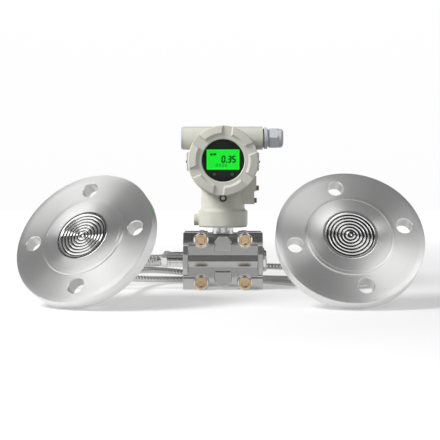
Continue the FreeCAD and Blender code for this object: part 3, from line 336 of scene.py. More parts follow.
def newFinish(name, colour, metallic, rough, vary=0.0, grain=300.0, roughVary=0.0, bump=0.0,
              bumpGrain=900.0):
    # colour and roughness wander a little with noise, and the surface has a fine tooth
    finish = bpy.data.materials.new(name)
    finish.use_nodes = True
    tree = finish.node_tree
    shader = tree.nodes["Principled BSDF"]
    shader.inputs["Metallic"].default_value = metallic
    shader.inputs["Roughness"].default_value = rough
    shader.inputs["Base Color"].default_value = (*colour, 1)
    where = newNode(tree, "TexCoord")
    noise = newNode(tree, "TexNoise")
    noise.inputs["Scale"].default_value = grain
    noise.inputs["Detail"].default_value = 5.0
    tree.links.new(where.outputs["Object"], noise.inputs["Vector"])
    if vary:
        ramp = newNode(tree, "ValToRGB")
        ramp.color_ramp.elements[0].position = 0.25
        ramp.color_ramp.elements[1].position = 0.75
        ramp.color_ramp.elements[0].color = (*[c * (1 - vary) for c in colour], 1)
        ramp.color_ramp.elements[1].color = (*[min(1.0, c * (1 + vary)) for c in colour], 1)
        tree.links.new(noise.outputs["Fac"], ramp.inputs["Fac"])
        tree.links.new(ramp.outputs["Color"], shader.inputs["Base Color"])
    if roughVary:
        spread = newNode(tree, "MapRange")
        spread.inputs["To Min"].default_value = max(0.02, rough - roughVary)
        spread.inputs["To Max"].default_value = min(1.0, rough + roughVary)
        tree.links.new(noise.outputs["Fac"], spread.inputs["Value"])
        tree.links.new(spread.outputs["Result"], shader.inputs["Roughness"])
    if bump:
        tooth = newNode(tree, "TexNoise")
        tooth.inputs["Scale"].default_value = bumpGrain
        tooth.inputs["Detail"].default_value = 4.0
        raised = newNode(tree, "Bump")
        raised.inputs["Distance"].default_value = bump * mm
        tree.links.new(where.outputs["Object"], tooth.inputs["Vector"])
        tree.links.new(tooth.outputs["Fac"], raised.inputs["Height"])
        tree.links.new(raised.outputs["Normal"], shader.inputs["Normal"])
    return finish


def latheFinish(name, centre, axis, colour, rough, anisotropy, streak=0.05, pitch=0.35, depth=0.004,
                fineness=2.2, waves=None):
    # fine rings about an axis: streaks in colour and roughness, shallow grooves, a ringwise sheen, and where
    # waves are given, painted shade darkening the colour between them
    finish = bpy.data.materials.new(name)
    finish.use_nodes = True
    tree = finish.node_tree
    link = tree.links.new
    shader = tree.nodes["Principled BSDF"]
    shader.inputs["Metallic"].default_value = 1.0
    shader.inputs["Roughness"].default_value = rough
    shader.inputs["Anisotropic"].default_value = anisotropy
    shader.inputs["Anisotropic Rotation"].default_value = 0.25
    where = newNode(tree, "TexCoord")
    fromCentre = newNode(tree, "VectorMath", operation="SUBTRACT")
    fromCentre.inputs[1].default_value = centre
    around = newNode(tree, "VectorMath", operation="CROSS_PRODUCT")
    around.inputs[0].default_value = axis
    unit = newNode(tree, "VectorMath", operation="NORMALIZE")
    far = newNode(tree, "VectorMath", operation="LENGTH")
    along = newNode(tree, "VectorMath", operation="DOT_PRODUCT")
    along.inputs[1].default_value = axis
    reach = newNode(tree, "Math", operation="ADD")
    toWorld = newNode(tree, "VectorTransform", vector_type="VECTOR")
    toWorld.convert_from, toWorld.convert_to = "OBJECT", "WORLD"
    link(where.outputs["Object"], fromCentre.inputs[0])
    link(fromCentre.outputs[0], around.inputs[1])
    link(around.outputs[0], unit.inputs[0])
    link(unit.outputs[0], toWorld.inputs[0])
    link(toWorld.outputs[0], shader.inputs["Tangent"])
    link(around.outputs[0], far.inputs[0])
    link(fromCentre.outputs[0], along.inputs[0])
    link(far.outputs["Value"], reach.inputs[0])
    link(along.outputs["Value"], reach.inputs[1])
    rings = newNode(tree, "TexNoise", noise_dimensions="1D")
    rings.inputs["Scale"].default_value = fineness / mm
    rings.inputs["Detail"].default_value = 3.0
    link(reach.outputs[0], rings.inputs["W"])
    tone = newNode(tree, "ValToRGB")
    tone.color_ramp.elements[0].position = 0.3
    tone.color_ramp.elements[1].position = 0.7
    tone.color_ramp.elements[0].color = (*[c * (1 - streak) for c in colour], 1)
    tone.color_ramp.elements[1].color = (*[min(1.0, c * (1 + streak)) for c in colour], 1)
    link(rings.outputs["Fac"], tone.inputs["Fac"])
    link(tone.outputs["Color"], shader.inputs["Base Color"])
    if waves:
        # painted shade: the colour is darkened in the low parts between the waves, standing in for the dark
        # reflections there; start and period in mm, share and tone
        phase = newNode(tree, "Math", operation="MULTIPLY_ADD")
        phase.inputs[1].default_value = 2 * math.pi / (waves["period"] * mm)
        phase.inputs[2].default_value = -2 * math.pi * waves["start"] / waves["period"]
        swing = newNode(tree, "Math", operation="COSINE")
        low = newNode(tree, "MapRange")
        low.inputs["From Min"].default_value = waves["from"]
        low.inputs["From Max"].default_value = waves["from"] - 0.25
        inside = newNode(tree, "Math", operation="LESS_THAN")
        inside.inputs[1].default_value = waves["start"] * mm
        valley = newNode(tree, "Math", operation="MULTIPLY")
        paintedValleyShade = newNode(tree, "Mix", data_type="RGBA")
        paintedValleyShade.inputs[7].default_value = (*[waves["tone"]] * 3, 1)
        link(far.outputs["Value"], phase.inputs[0])
        link(phase.outputs[0], swing.inputs[0])
        link(swing.outputs[0], low.inputs["Value"])
        link(far.outputs["Value"], inside.inputs[0])
        link(low.outputs["Result"], valley.inputs[0])
        link(inside.outputs[0], valley.inputs[1])
        link(valley.outputs[0], paintedValleyShade.inputs[0])
        link(tone.outputs["Color"], paintedValleyShade.inputs[6])
        link(paintedValleyShade.outputs[2], shader.inputs["Base Color"])
    if not depth:
        return finish
    grooves = newNode(tree, "Math", operation="MULTIPLY")
    grooves.inputs[1].default_value = 2 * math.pi / (pitch * mm)
    wave = newNode(tree, "Math", operation="SINE")
    raised = newNode(tree, "Bump")
    raised.inputs["Distance"].default_value = depth * mm
    link(reach.outputs[0], grooves.inputs[0])
    link(grooves.outputs[0], wave.inputs[0])
    link(wave.outputs[0], raised.inputs["Height"])
    link(raised.outputs["Normal"], shader.inputs["Normal"])
    return finish


finishes = {
    "castSteel": newFinish("castSteel", (0.52, 0.52, 0.515), 1.0, 0.25, 0.04, 400, 0.03),
    "polishedSteel": newFinish("polishedSteel", (0.66, 0.66, 0.65), 1.0, 0.16, 0.04, 200, 0.04),
    "giltSteel": newFinish("giltSteel", (0.60, 0.435, 0.265), 1.0, 0.24, 0.10, 500, 0.05),
    "zincSteel": newFinish("zincSteel", (0.80, 0.86, 0.96), 1.0, 0.14, 0.05, 500, 0.04),
    "creamPaint": newFinish("creamPaint", (0.615, 0.61, 0.545), 0.0, 0.24, 0.015, 60, 0.04, 0.012, 1100),
    "blackPlastic": newFinish("blackPlastic", (0.010, 0.011, 0.012), 0.0, 0.38, 0.2, 300, 0.05, 0.02, 1500),
    "board": newFinish("boardLaminate", (0.02, 0.16, 0.05), 0.0, 0.35, 0.15, 250, 0.05),
    "nylon": newFinish("greyNylon", (0.55, 0.575, 0.61), 0.0, 0.40, 0.03, 300, 0.05, 0.02, 1200),
    "nylonDark": newFinish("nylonDark", (0.27, 0.29, 0.33), 0.0, 0.5, 0.05, 300, 0.05, 0.02, 1200),
    "rubber": newFinish("blackRubber", (0.016, 0.016, 0.017), 0.0, 0.62, 0.15, 500, 0.08, 0.03, 1500),
    "thinPlate": newFinish("thinPlate", (0.60, 0.60, 0.59), 1.0, 0.30, 0.05, 400, 0.06),
    "bronzedSteel": newFinish("bronzedSteel", (0.17, 0.115, 0.08), 1.0, 0.32, 0.35, 900, 0.08, 0.02, 900),
    "darkSteel": newFinish("darkSteel", (0.10, 0.095, 0.09), 1.0, 0.35, 0.25, 900, 0.08),
    "blackSteel": newFinish("blackSteel", (0.09, 0.09, 0.09), 1.0, 0.30, 0.2, 900, 0.05),
    "lockSteel": newFinish("lockSteel", (0.36, 0.35, 0.34), 1.0, 0.22, 0.10, 700, 0.05),
    "hoseArmour": newFinish("hoseArmour", (0.60, 0.60, 0.59), 1.0, 0.15, 0.10, 350, 0.04),
}
glass = newFinish("windowGlass", (1.0, 1.0, 1.0), 0.0, 0.0)
glassShader = glass.node_tree.nodes["Principled BSDF"]
glassShader.inputs["Transmission Weight"].default_value = 1.0
glassShader.inputs["IOR"].default_value = 1.15
finishes["windowGlass"] = glass
glassShader.inputs["Specular IOR Level"].default_value = 0.10
for name in ("blackPlastic", "rubber"):
    finishes[name].node_tree.nodes["Principled BSDF"].inputs["Specular IOR Level"].default_value = 0.25
# the lit panel, its field and the marks on it: colour and how strongly each glows
for name, colour, glow in (("greenDisplay", (0.0, 0.95, 0.02), 0.95),
                           ("greenField", (0.0, 0.80, 0.022), 0.95),
                           ("faintSegments", (0.0, 0.22, 0.01), 0.95), ("inkSegments", (0.0, 0.0, 0.0), 0.0)):
    lit = newFinish(name, tuple(0.1 * c for c in colour), 0.0, 0.4, 0.02, 90)
    litShader = lit.node_tree.nodes["Principled BSDF"]
    litShader.inputs["Emission Color"].default_value = (*colour, 1)
    litShader.inputs["Emission Strength"].default_value = glow
    litShader.inputs["Specular IOR Level"].default_value = 0.2
    finishes[name] = lit

upAxis = (0, 0, 1)
finishes["sideLathe"] = latheFinish("sideLathe", place(0, 0, blockAxis), (1, 0, 0), (0.72, 0.72, 0.71),
                                    0.15, 0.4, 0.05, 0.4, 0.002)
finishes["stemLathe"] = latheFinish("stemLathe", place(0, 0, 0), upAxis, (0.66, 0.67, 0.67), 0.20, 0.4,
                                    0.05, 0.5, 0.003)

slotOf = {"cast_steel": "castSteel", "turned_steel": "sideLathe", "polished_steel": "polishedSteel",
          "gilt_steel": "giltSteel", "zinc_steel": "zincSteel", "cream_paint": "creamPaint",
          "window_glass": "windowGlass", "black_plastic": "blackPlastic", "green_display": "greenDisplay",
          "board": "board", "nylon": "nylon", "rubber": "rubber", "thin_plate": "thinPlate",
          "bronzed_steel": "bronzedSteel", "hose_armour": "hoseArmour"}
for part in frame["record"]["subparts"]:
    piece = nodes[part["node"]]
    piece.data.materials.clear()
    piece.data.materials.append(finishes[slotOf[part["material_slot"]]])
nodes["sensor_stem"].data.materials[0] = finishes["stemLathe"]
print("finishes laid on")


def dressed(piece, finish, body, *stoodFor):
    # finish, body and the parts that the piece stands for
    piece.data.materials.clear()
    piece.data.materials.append(finishes[finish])
    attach(piece, body)
    if stoodFor:
        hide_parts(*stoodFor)
    return piece


# capillary hoses, in flexible armour
hoseSet = {"radius": 4.25, "pitch": 4.5, "sides": 14, "diameter": 0.0085, "step": 0.75,
           "length": {"left": 1.217, "right": 0.775}}
# one turn of the armour strip: share of the pitch, and how far it lies under the full radius, mm
stripRows = ((0.0, 1.15), (0.1, 0.40), (0.26, 0.05), (0.5, 0.0), (0.74, 0.14), (0.9, 0.55))
hoseRoutes = {
    "left": [(-81.1, -26, 36.4), (-118, -27, 36), (-160, -33, 27), (-202, -24, 14), (-230, 10, 6.5),
             (-222, 54, 4.25), (-184, 80, 4.25), (-138, 74, 4.25), (-92, 57, 4.25), (-50, 56, 4.25),
             (-10, 70, 4.25), (30, 76, 4.25), (62, 70, 4.25), (98, 62, 4.25), (132, 73, 4.25),
             (167, 74, 4.25), (195, 54, 4.25), (205, 20, 4.25), (191, -13, 4.25), (161, -31, 4.25),
             (126, -26, 4.25), (99, 3.5, 4.25), (70, 30, 4.25), (36, 54, 4.25), (-8, 55, 6.5),
             (-54, 51, 14.5), (-92, 38, 19), (-114, 2, 21.5), (-117, -36, 20), (-121, -74, 18),
             (-124.8, -109.1, 23.2), (-136.424, -136.644, 43.232)],
    "right": [(-81.1, 26, 36.4), (-118, 26, 36.2), (-152, 12, 34.5), (-187, 7, 32), (-217, 24, 28),
              (-231, 57, 24), (-222, 90, 20), (-194, 112, 18), (-159, 112, 18), (-131, 91, 21),
              (-94, 64, 25), (-50, 52, 28), (0, 51, 26), (48, 51, 23), (92, 52, 21.5), (126, 44, 19.5),
              (150, 17, 17.5), (154, -18, 17), (148, -52, 17), (140.5, -80, 18.5),
              (139.8, -104.2, 26.2), (139.947, -134.598, 45.401)],
}


def routeLine(name, route):
    # the smooth line of a route, read as points
    line = bpy.data.curves.new(name, "CURVE")
    line.dimensions = "3D"
    line.resolution_u = 24
    spline = line.splines.new("NURBS")
    spline.points.add(len(route) - 1)
    for knot, point in zip(spline.points, route):
        knot.co = (*place(*point), 1)
    spline.order_u = 3
    spline.use_endpoint_u = True
    carrier = bpy.data.objects.new(name, line)
    scene.collection.objects.link(carrier)
    bpy.context.view_layer.update()
    mesh = bpy.data.meshes.new_from_object(carrier)
    points = [vertex.co.copy() for vertex in mesh.vertices]
    bpy.data.meshes.remove(mesh)
    bpy.data.objects.remove(carrier)
    return points


def evenly(points, step):
    run = [0.0]
    for before, after in zip(points, points[1:]):
        run.append(run[-1] + (after - before).length)
    count = round(run[-1] / step)
    made, k = [], 0
    for i in range(count + 1):
        s = run[-1] * i / count
        while k < len(points) - 2 and run[k + 1] < s:
            k += 1
        share = (s - run[k]) / max(run[k + 1] - run[k], 1e-9)
        made.append(points[k].lerp(points[k + 1], min(1.0, share)))
    return made, run[-1]


def armouredHose(name, route):
    # the strip winds round the line, and its rows follow the winding, so each groove is clean
    points, total = evenly(routeLine(name + "Line", route), hoseSet["step"] * mm)
    spacing = total / (len(points) - 1)
    carried = []
    side = (points[1] - points[0]).orthogonal().normalized()
    for i, point in enumerate(points):
        ahead = (points[min(i + 1, len(points) - 1)] - points[max(i - 1, 0)]).normalized()
        side = (side - ahead * side.dot(ahead)).normalized()
        carried.append((point, side, ahead.cross(side)))
    sides, rows = hoseSet["sides"], len(stripRows)
    turns = round(total / (hoseSet["pitch"] * mm))
    pitch = total / turns
    track = (turns + 1) * sides + 1
    corners, faces = [], []
    for share, drop in stripRows:
        for q in range(track):
            s = min(max((q / sides + share - 1) * pitch, 0.0), total)
            fade = min(1.0, max(0.0, min(s, total - s) / pitch - 0.5))
            k = min(int(s / spacing), len(carried) - 2)
            a, b, t = carried[k], carried[k + 1], s / spacing - k
            turn = 2 * math.pi * (q % sides) / sides
            arm = a[1].lerp(b[1], t) * math.cos(turn) + a[2].lerp(b[2], t) * math.sin(turn)
            corners.append(a[0].lerp(b[0], t) + arm * (hoseSet["radius"] - drop * fade) * mm)
    for row in range(rows):
        for q in range(track - 1):
            near = row * track + q
            far = near + track if row < rows - 1 else q + sides
            if far + 1 < (track if row == rows - 1 else rows * track):
                faces.append((near, near + 1, far + 1, far))
    mesh = bpy.data.meshes.new(name)
    mesh.from_pydata(corners, [], faces)
    hose = bpy.data.objects.new(name, mesh)
    scene.collection.objects.link(hose)
    tidyMesh(hose)
    return smoothed(hose, 50), points, total


for side, route in hoseRoutes.items():
    hose, path, total = armouredHose("armouredHose_" + side, route)
    dressed(hose, "hoseArmour", "sensor", "capillary_hose_" + side)
    print("hose", side, "is", round(total, 4), "m long")


# remote seals, standard DN 50 PN 16 flanges
sealSet = {
    "radius": 82.5, "thick": 16.0, "break": 1.0, "faceRadius": 49.0, "faceRise": 2.0, "lineRadius": 45.3,
    "seatRadius": 30.5, "seatDepth": 1.6, "boltCircle": 62.5, "boltHole": 9.0, "holeBreak": 0.8,
    "left": {"side": -1, "tilt": 34.0, "turn": 22.8, "spin": 10.8, "x": -155.7, "y": -182.5, "pitch": 0.5},
    "right": {"side": 1, "tilt": 32.5, "turn": 0.4, "spin": 11.1, "x": 140.3, "y": -185.2, "pitch": 1.05},
}
waveSet = {"rim": 30.2, "start": 27.4, "end": 4.4, "count": 6, "rise": 1.30, "crisp": 0.80, "steps": 16}


def sealMatrix(seal):
    lean = math.radians(seal["tilt"])
    rise = (sealSet["thick"] - sealSet["break"]) * math.sin(lean) + sealSet["radius"] * math.cos(lean)
    return (Matrix.Translation(place(seal["x"], seal["y"], rise))
            @ Matrix.Rotation(math.radians(seal["side"] * seal["turn"]), 4, "Z")
            @ Matrix.Rotation(-lean, 4, "X") @ facingTurns["-Y"]
            @ Matrix.Rotation(math.radians(seal["spin"]), 4, "Z"))


def sealFlange(name):
    s = sealSet
    back, rise, line = -s["thick"], s["faceRise"], s["lineRadius"]
    floorLevel = rise - s["seatDepth"]
    rings = [(1.5, back), (60.0, back), (s["radius"] - s["break"], back), (s["radius"], back + s["break"]),
             (s["radius"], -s["break"]), (s["radius"] - 0.3, -0.35), (s["radius"] - s["break"], 0),
             (75.0, 0), (s["faceRadius"] + 1.0, 0), (s["faceRadius"] + 0.3, 0.08),
             (s["faceRadius"], 0.4), (s["faceRadius"], rise - 0.75), (s["faceRadius"] - 0.35, rise - 0.3),
             (s["faceRadius"] - 0.9, rise - 0.1), (line + 0.4, rise), (line, rise - 0.4),
             (line - 0.4, rise), (s["seatRadius"] + 0.5, rise), (s["seatRadius"] + 0.1, rise - 0.2),
             (s["seatRadius"], floorLevel), (1.5, floorLevel)]
    flange = turnedPiece(name, rings, 160, loop=True)
    hole, flare = s["boltHole"], s["holeBreak"]
    for index in range(4):
        turn = math.radians(90 * index)
        drill = turnedPiece("drill", [(hole + flare + 1, back - 1), (hole, back + flare), (hole, -flare),
                                      (hole + flare + 1, 1)], 48)
        settle(drill, Matrix.Translation(Vector((math.cos(turn), math.sin(turn), 0)) * s["boltCircle"] * mm))
        cutAway(flange, drill)
    return smoothed(flange, 28)


def waveDiaphragm(name):
    w, top = waveSet, sealSet["faceRise"]
    floorLevel = top - sealSet["seatDepth"]
    rings = [(w["rim"], floorLevel), (w["rim"], top - 0.25), (w["rim"] - 0.25, top),
             (w["rim"] - 0.8, top + 0.05)]
    period = (w["start"] - w["end"]) / w["count"]
    for step in range(w["count"] * w["steps"] + 1):
        share = step / w["steps"]
        rings.append((w["start"] - share * period,
                      top - w["rise"] * (0.5 - 0.5 * math.asin(w["crisp"] * math.cos(2 * math.pi * share))
                                         / math.asin(w["crisp"]))))
    rings += [(w["end"] - 0.5, top - 0.2), (3.0, top - 0.45), (2.2, top - 0.5), (1.6, top - 0.2),
              (0.9, top - 0.05), (0, top)]
    return smoothed(turnedPiece(name, rings, 160), 75)


def sealNeck(name):
    back = -sealSet["thick"]
    rings = [(1.5, back), (22.0, back), (21.6, back - 0.7), (21.0, back - 1.2), (21.0, back - 9.0),
             (20.4, back - 10.3), (19.0, back - 11.0), (9.0, back - 11.0), (7.4, back - 11.5),
             (7.0, back - 12.5), (7.0, back - 33.0), (6.4, back - 33.4), (6.4, back - 34.2),
             (7.0, back - 34.6), (7.0, back - 43.4), (6.5, back - 44.0), (4.3, back - 44.0),
             (4.3, back - 30.0), (1.5, back - 30.0)]
    return turnedPiece(name, rings, 64, loop=True)


# painted shade for the diaphragm valleys: per side, the phase from which the colour darkens and the dark tone
valleys = {"start": waveSet["start"], "period": (waveSet["start"] - waveSet["end"]) / waveSet["count"],
           "left": (-0.45, 0.12), "right": (-0.15, 0.05)}
for side in ("left", "right"):
    paintedValleyShade = {**valleys, "from": valleys[side][0], "tone": valleys[side][1]}
    matrix = sealMatrix(sealSet[side])
    centre, axis = matrix.translation, matrix.to_3x3() @ Vector((0, 0, 1))
    tone = (0.84, 0.84, 0.835)
    finishes["sealLathe_" + side] = latheFinish("sealLathe_" + side, centre, axis, tone, 0.38, 0.93,
                                                0.05, sealSet[side]["pitch"], 0.004)
    finishes["waveLathePaintedShade_" + side] = latheFinish("waveLathePaintedShade_" + side, centre, axis, (0.80, 0.80, 0.795),
                                                0.12, 0.0, 0.02, 0.4, 0.0, waves=paintedValleyShade)
    flange = settle(sealFlange("sealFlange_" + side), matrix)
    dressed(flange, "sealLathe_" + side, "sensor", "seal_flange_" + side)
    wave = settle(waveDiaphragm("waveDiaphragm_" + side), matrix)
    dressed(wave, "waveLathePaintedShade_" + side, "sensor", "seal_diaphragm_" + side)
    neck = settle(sealNeck("sealNeck_" + side), matrix)
    dressed(neck, "sealLathe_" + side, "sensor", "seal_neck_" + side)
print("remote seals turned")


# process flanges and the bolts that clamp them
blockSet = {"ease": 0.7, "boltX": 28.0, "boltZ": (9.3, 63.5), "seat": 32.0, "headAcross": 15.8,
            "headHeight": 6.4, "washerThick": 1.8, "nutHeight": 8.0}
castSet = {"width": 102.4, "pad": 31.0, "ridge": 89.6, "face": 17.0, "archFront": 20.0,
           "archBack": 9.0, "lean": 0.045, "archEase": 1.3, "seatRadius": 10.1, "seatClear": 0.9,
           "bore": 5.5, "port": 7.0, "portOut": 11.0, "portDeep": 16,
           "apart": 0.03, "reach": 15.0}          # apart keeps two faces from lying in one plane
# outlines of the casting's section, as (height over its middle, reach outwards), from foot to top
bandOutline = [(-20.4, 18.5), (-7.1, 17.6), (0, 23.0), (7.1, 18.2), (20.2, 17.6)]
coreOutline = [(-33.2, 0.04), (-33.2, 10.4), (-32.4, 12.2), (-29.0, 14.0), (-25.0, 15.4), (-21.6, 16.8),
               (-20.3, 18.3), (-18.0, 15.5), (18.0, 15.5), (20.1, 17.4), (22.4, 17.1), (25.0, 16.3),
               (28.0, 15.0), (31.0, 13.4), (33.4, 11.6), (34.4, 10.0), (34.4, 0.04)]
padOutline = [(-36.4, 0), (-36.4, 14.2), (-22.2, 17.0), (-21.4, 16.2), (-21.4, 14.0), (21.2, 14.0),
              (21.2, 16.6), (21.9, 17.2), (26.0, 16.7), (36.4, 12.8), (36.4, 0)]
bossOutline = [(-19.0, 0.5), (-19.0, 15.0), (-9.3, 22.2), (9.3, 21.5), (19.0, 15.0), (19.0, 0.5)]
# raised arches, each between the outline at its root and the one of its face, as (across, up)
crownRoot = [(-13.2, 10.2), (-12.4, 25.0), (-11.0, 29.2), (-6.8, 33.4), (-4.0, 34.2)]
crownFace = [(-10.3, 12.3), (-10.3, 24.0), (-9.1, 27.4), (-5.2, 31.9), (-3.4, 32.6)]
footSteps = [math.radians(d) for d in range(180, 361, 15)]
footRoot = [(13.8, -10.4), (-13.8, -10.4)]
footRoot += [(11.9 * math.cos(d), -22.4 + 10.6 * math.sin(d)) for d in footSteps]
footFace = [(10.8, -13.0), (-10.8, -13.0)]
footFace += [(10.7 * math.cos(d), -22.6 + 10.3 * math.sin(d)) for d in footSteps]


def profilePiece(name, outline, low, high, along="X"):
    # an outline drawn out along one direction; along X it is given as (up, out)
    deselectAll()
    bpy.ops.mesh.primitive_circle_add(vertices=len(outline), radius=mm, fill_type="NGON", location=(0, 0, 0))
    piece = bpy.context.object
    piece.name = piece.data.name = name
    for vertex, (u, v) in zip(piece.data.vertices, outline):
        vertex.co = Vector((low, u, v) if along == "X" else (u, v, low)) * mm
    editing(piece, "FACE")
    bpy.ops.mesh.select_all(action="SELECT")
    span = (high - low) * mm
    bpy.ops.mesh.extrude_region_move(
        TRANSFORM_OT_translate={"value": (span, 0, 0) if along == "X" else (0, 0, span)})
    return piece


def archPad(name, root, face):
    # a raised pad whose sides lean and whose face tips back, as cast
    c = castSet
    pad = profilePiece(name, root, c["archBack"], c["archFront"], "Z")
    bpy.ops.object.mode_set(mode="OBJECT")
    middle = sum(v for _, v in face) / len(face)
    for vertex in pad.data.vertices:
        x, y, z = vertex.co / mm
        if z > c["archFront"] - 0.1:
            index = min(range(len(root)), key=lambda k: math.hypot(root[k][0] - x, root[k][1] - y))
            u, v = face[index]
            vertex.co = Vector((u, v, z - c["lean"] * (v - middle))) * mm
    tidyMesh(pad)
    return eased(pad, c["archEase"], 4, 24)


def clampCasting(name):
    c, b = castSet, blockSet
    half, inner = c["width"] / 2, c["width"] / 2 - c["pad"]
    boltLow, boltHigh = b["boltZ"][0] - blockAxis, b["boltZ"][1] - blockAxis
    parts = [profilePiece("core", coreOutline, -inner - 0.5, inner + 0.5),
             profilePiece("band", [(-20.4, 1.0)] + bandOutline + [(20.2, 1.0)],
                          -c["ridge"] / 2, c["ridge"] / 2)]
    for side in (-1, 1):
        parts.append(profilePiece("pad", padOutline, *sorted((side * half, side * inner))))
        ends = side * (half - c["apart"]), side * (c["ridge"] / 2 - c["apart"])
        parts.append(profilePiece("boss", bossOutline, *sorted(ends)))
    for part in parts:
        bpy.context.view_layer.objects.active = part
        tidyMesh(part)
        eased(part, b["ease"], 3, 14)
    mirrored = [[(-u, v) for u, v in reversed(half)] for half in (crownRoot, crownFace)]
    parts.append(archPad("crown", crownRoot + mirrored[0], crownFace + mirrored[1]))
    parts.append(archPad("foot", footRoot, footFace))
    for x in (-b["boltX"], b["boltX"]):
        for z in (boltLow, boltHigh):
            seat = turnedPiece("seat", [(c["seatRadius"], 2), (c["seatRadius"], c["face"] - 0.6),
                                        (c["seatRadius"] - 0.6, c["face"])], 64)
            parts.append(settle(seat, Matrix.Translation(Vector((x, z, 0)) * mm)))
            for vertex in seat.data.vertices:     # the lower seats are flat where the casting stands
                vertex.co.y = max(vertex.co.y, (0.1 - blockAxis) * mm)
    cast = parts[0]
    for part in parts[1:]:
        applied(cast, "BOOLEAN", operation="UNION", object=part, solver="MANIFOLD")
        bpy.data.objects.remove(part)
    tools, wide = [], c["seatRadius"] + c["seatClear"]
    for x in (-b["boltX"], b["boltX"]):
        for z in (boltLow, boltHigh):
            clear = turnedPiece("clear", [(wide, c["face"] + c["apart"]), (wide, 30)], 64)
            bore = turnedPiece("bore", [(c["bore"], -2), (c["bore"], c["face"] + 0.5)], 48)
            tools += [settle(tool, Matrix.Translation(Vector((x, z, 0)) * mm)) for tool in (clear, bore)]
    for side in (-1, 1):
        port = turnedPiece("port", [(c["port"], half - c["portDeep"]), (c["port"], half + 1)], 48)
        tools.append(settle(port, Matrix.Translation(Vector((0, 0, c["portOut"])) * mm)
                            @ Matrix.Rotation(side * math.pi / 2, 4, "Y")))
    cutAway(cast, *tools)
    cast.name = cast.data.name = name
    return flatKept(cast, 30)


frontCast = clampCasting("processFlange_front")
rearCast = copied(frontCast)
rearCast.name = rearCast.data.name = "processFlange_rear"
for side, way, cast, sign, turn in (("front", "-Y", frontCast, -1, 0), ("rear", "+Y", rearCast, 1, 180)):
    settle(cast, facing(way, 0, sign * castSet["reach"], blockAxis, turn))
    dressed(cast, "castSteel", "sensor", "process_flange_" + side)
    print("process flange", side, len(cast.data.polygons))


def hexHead(name, across, height, break_=0.9, dish=0.0):
    # a hexagon with its corners turned off, and a shallow dish in its top
    blank = hexPrism(name, across, 0, height)
    r = across / math.sqrt(3)
    form = [(r + 0.4, -0.1), (r + 0.4, height - break_), (across / 2 - 0.8, height)]
    form += [(across * 0.36, height), (across * 0.27, height - dish)] if dish else []
    keptInside(blank, turnedPiece("form", form, 48))
    return eased(blank, 0.18, 2, 20)


spots = [(x, z) for x in (-blockSet["boltX"], blockSet["boltX"]) for z in blockSet["boltZ"]]
outer = blockSet["seat"] + blockSet["washerThick"]
heads, washers, nuts = [], [], []
for x, z in spots:
    head = hexHead("boltHead", blockSet["headAcross"], blockSet["headHeight"], 1.6, 0.6)
    shank = turnedPiece("boltShank", [(5.0, -66.0 - 2 * blockSet["washerThick"] - 10), (5.0, 0.5)], 32)
    heads.append(settle(joined("bolt", head, shank), facing("-Y", x, -outer, z)))
    for side, way in ((-1, "-Y"), (1, "+Y")):
        ring = turnedPiece("washer", [(5.3, 0), (8.9, 0), (9.2, 0.3), (9.2, 1.5), (8.9, 1.8), (5.6, 1.8),
                                      (5.3, 1.5)], 48, loop=True)
        washers.append(settle(ring, facing(way, x, side * blockSet["seat"], z)))
    nut = hexHead("nut", blockSet["headAcross"], blockSet["nutHeight"])
    cutAway(nut, turnedPiece("bore", [(6.4, -1), (5.2, 0.8), (5.2, 7.2), (6.4, 9)], 32))
    nuts.append(settle(smoothed(nut), facing("+Y", x, outer, z)))
dressed(joined("clampBolts", *heads), "giltSteel", "sensor", "clamp_bolts")
dressed(joined("clampWashers", *washers), "zincSteel", "sensor", "clamp_washers")
dressed(joined("clampNuts", *nuts), "giltSteel", "sensor", "clamp_nuts")
print("clamping bolts in")


# hose fittings and port plugs
fittingSet = {"side": 51.2, "radius": 8.0, "length": 16.1, "collar": 3.8, "neck": 0.6, "nutAcross": 15.6,
              "nutLength": 9.4, "plugAcross": 23.6, "plugHead": 4.6, "socket": 8.0}
adapters, hoseNuts, plugs = [], [], []
fittingEnd = fittingSet["side"] + fittingSet["length"] + fittingSet["collar"] + fittingSet["neck"]
for y in (-portReach, portReach):
    f = fittingSet
    first, second = f["length"], f["length"] + f["neck"]
    third = second + f["collar"]
    adapter = turnedPiece("adapter", [(1.5, -9), (6.7, -9), (6.7, 0), (7.6, 0), (8.0, 0.4), (8.0, 6.6),
                                      (7.8, 6.9), (7.8, 7.3), (8.0, 7.6), (8.0, first - 0.4),
                                      (7.6, first), (6.9, first), (6.9, second), (7.6, second),
                                      (8.0, second + 0.4), (8.0, third - 0.4), (7.6, third),
                                      (1.5, third)], 64, loop=True)
    adapters.append(settle(adapter, facing("-X", -f["side"], y, blockAxis)))
    nut = hexPrism("hoseNut", f["nutAcross"], 0, f["nutLength"])
    r = f["nutAcross"] / math.sqrt(3)
    keptInside(nut, turnedPiece("form", [(r - 0.5, 0), (r + 0.3, 0.8), (r + 0.3, 6.2), (r - 1.2, 7.4),
                                         (5.6, 8.6), (5.0, f["nutLength"])], 48))
    hoseNuts.append(settle(eased(nut, 0.15, 2, 20), facing("-X", -fittingEnd, y, blockAxis, 30)))
    plug = hexHead("plug", f["plugAcross"], f["plugHead"], 0.9)
    cutAway(plug, hexPrism("key", f["socket"], f["plugHead"] - 3, f["plugHead"] + 1))
    spigot = turnedPiece("spigot", [(6.7, -9), (6.7, 0.5)], 48)
    whole = joined("plug", smoothed(plug, 25), spigot)
    plugs.append(settle(whole, facing("+X", f["side"], y, blockAxis, 30)))
dressed(joined("hoseAdapters", *adapters), "sideLathe", "sensor", "hose_adapters")
dressed(joined("hoseNuts", *hoseNuts), "sideLathe", "sensor", "hose_nuts")
dressed(joined("portPlugs", *plugs), "sideLathe", "sensor", "port_plugs")
print("hose fittings on")


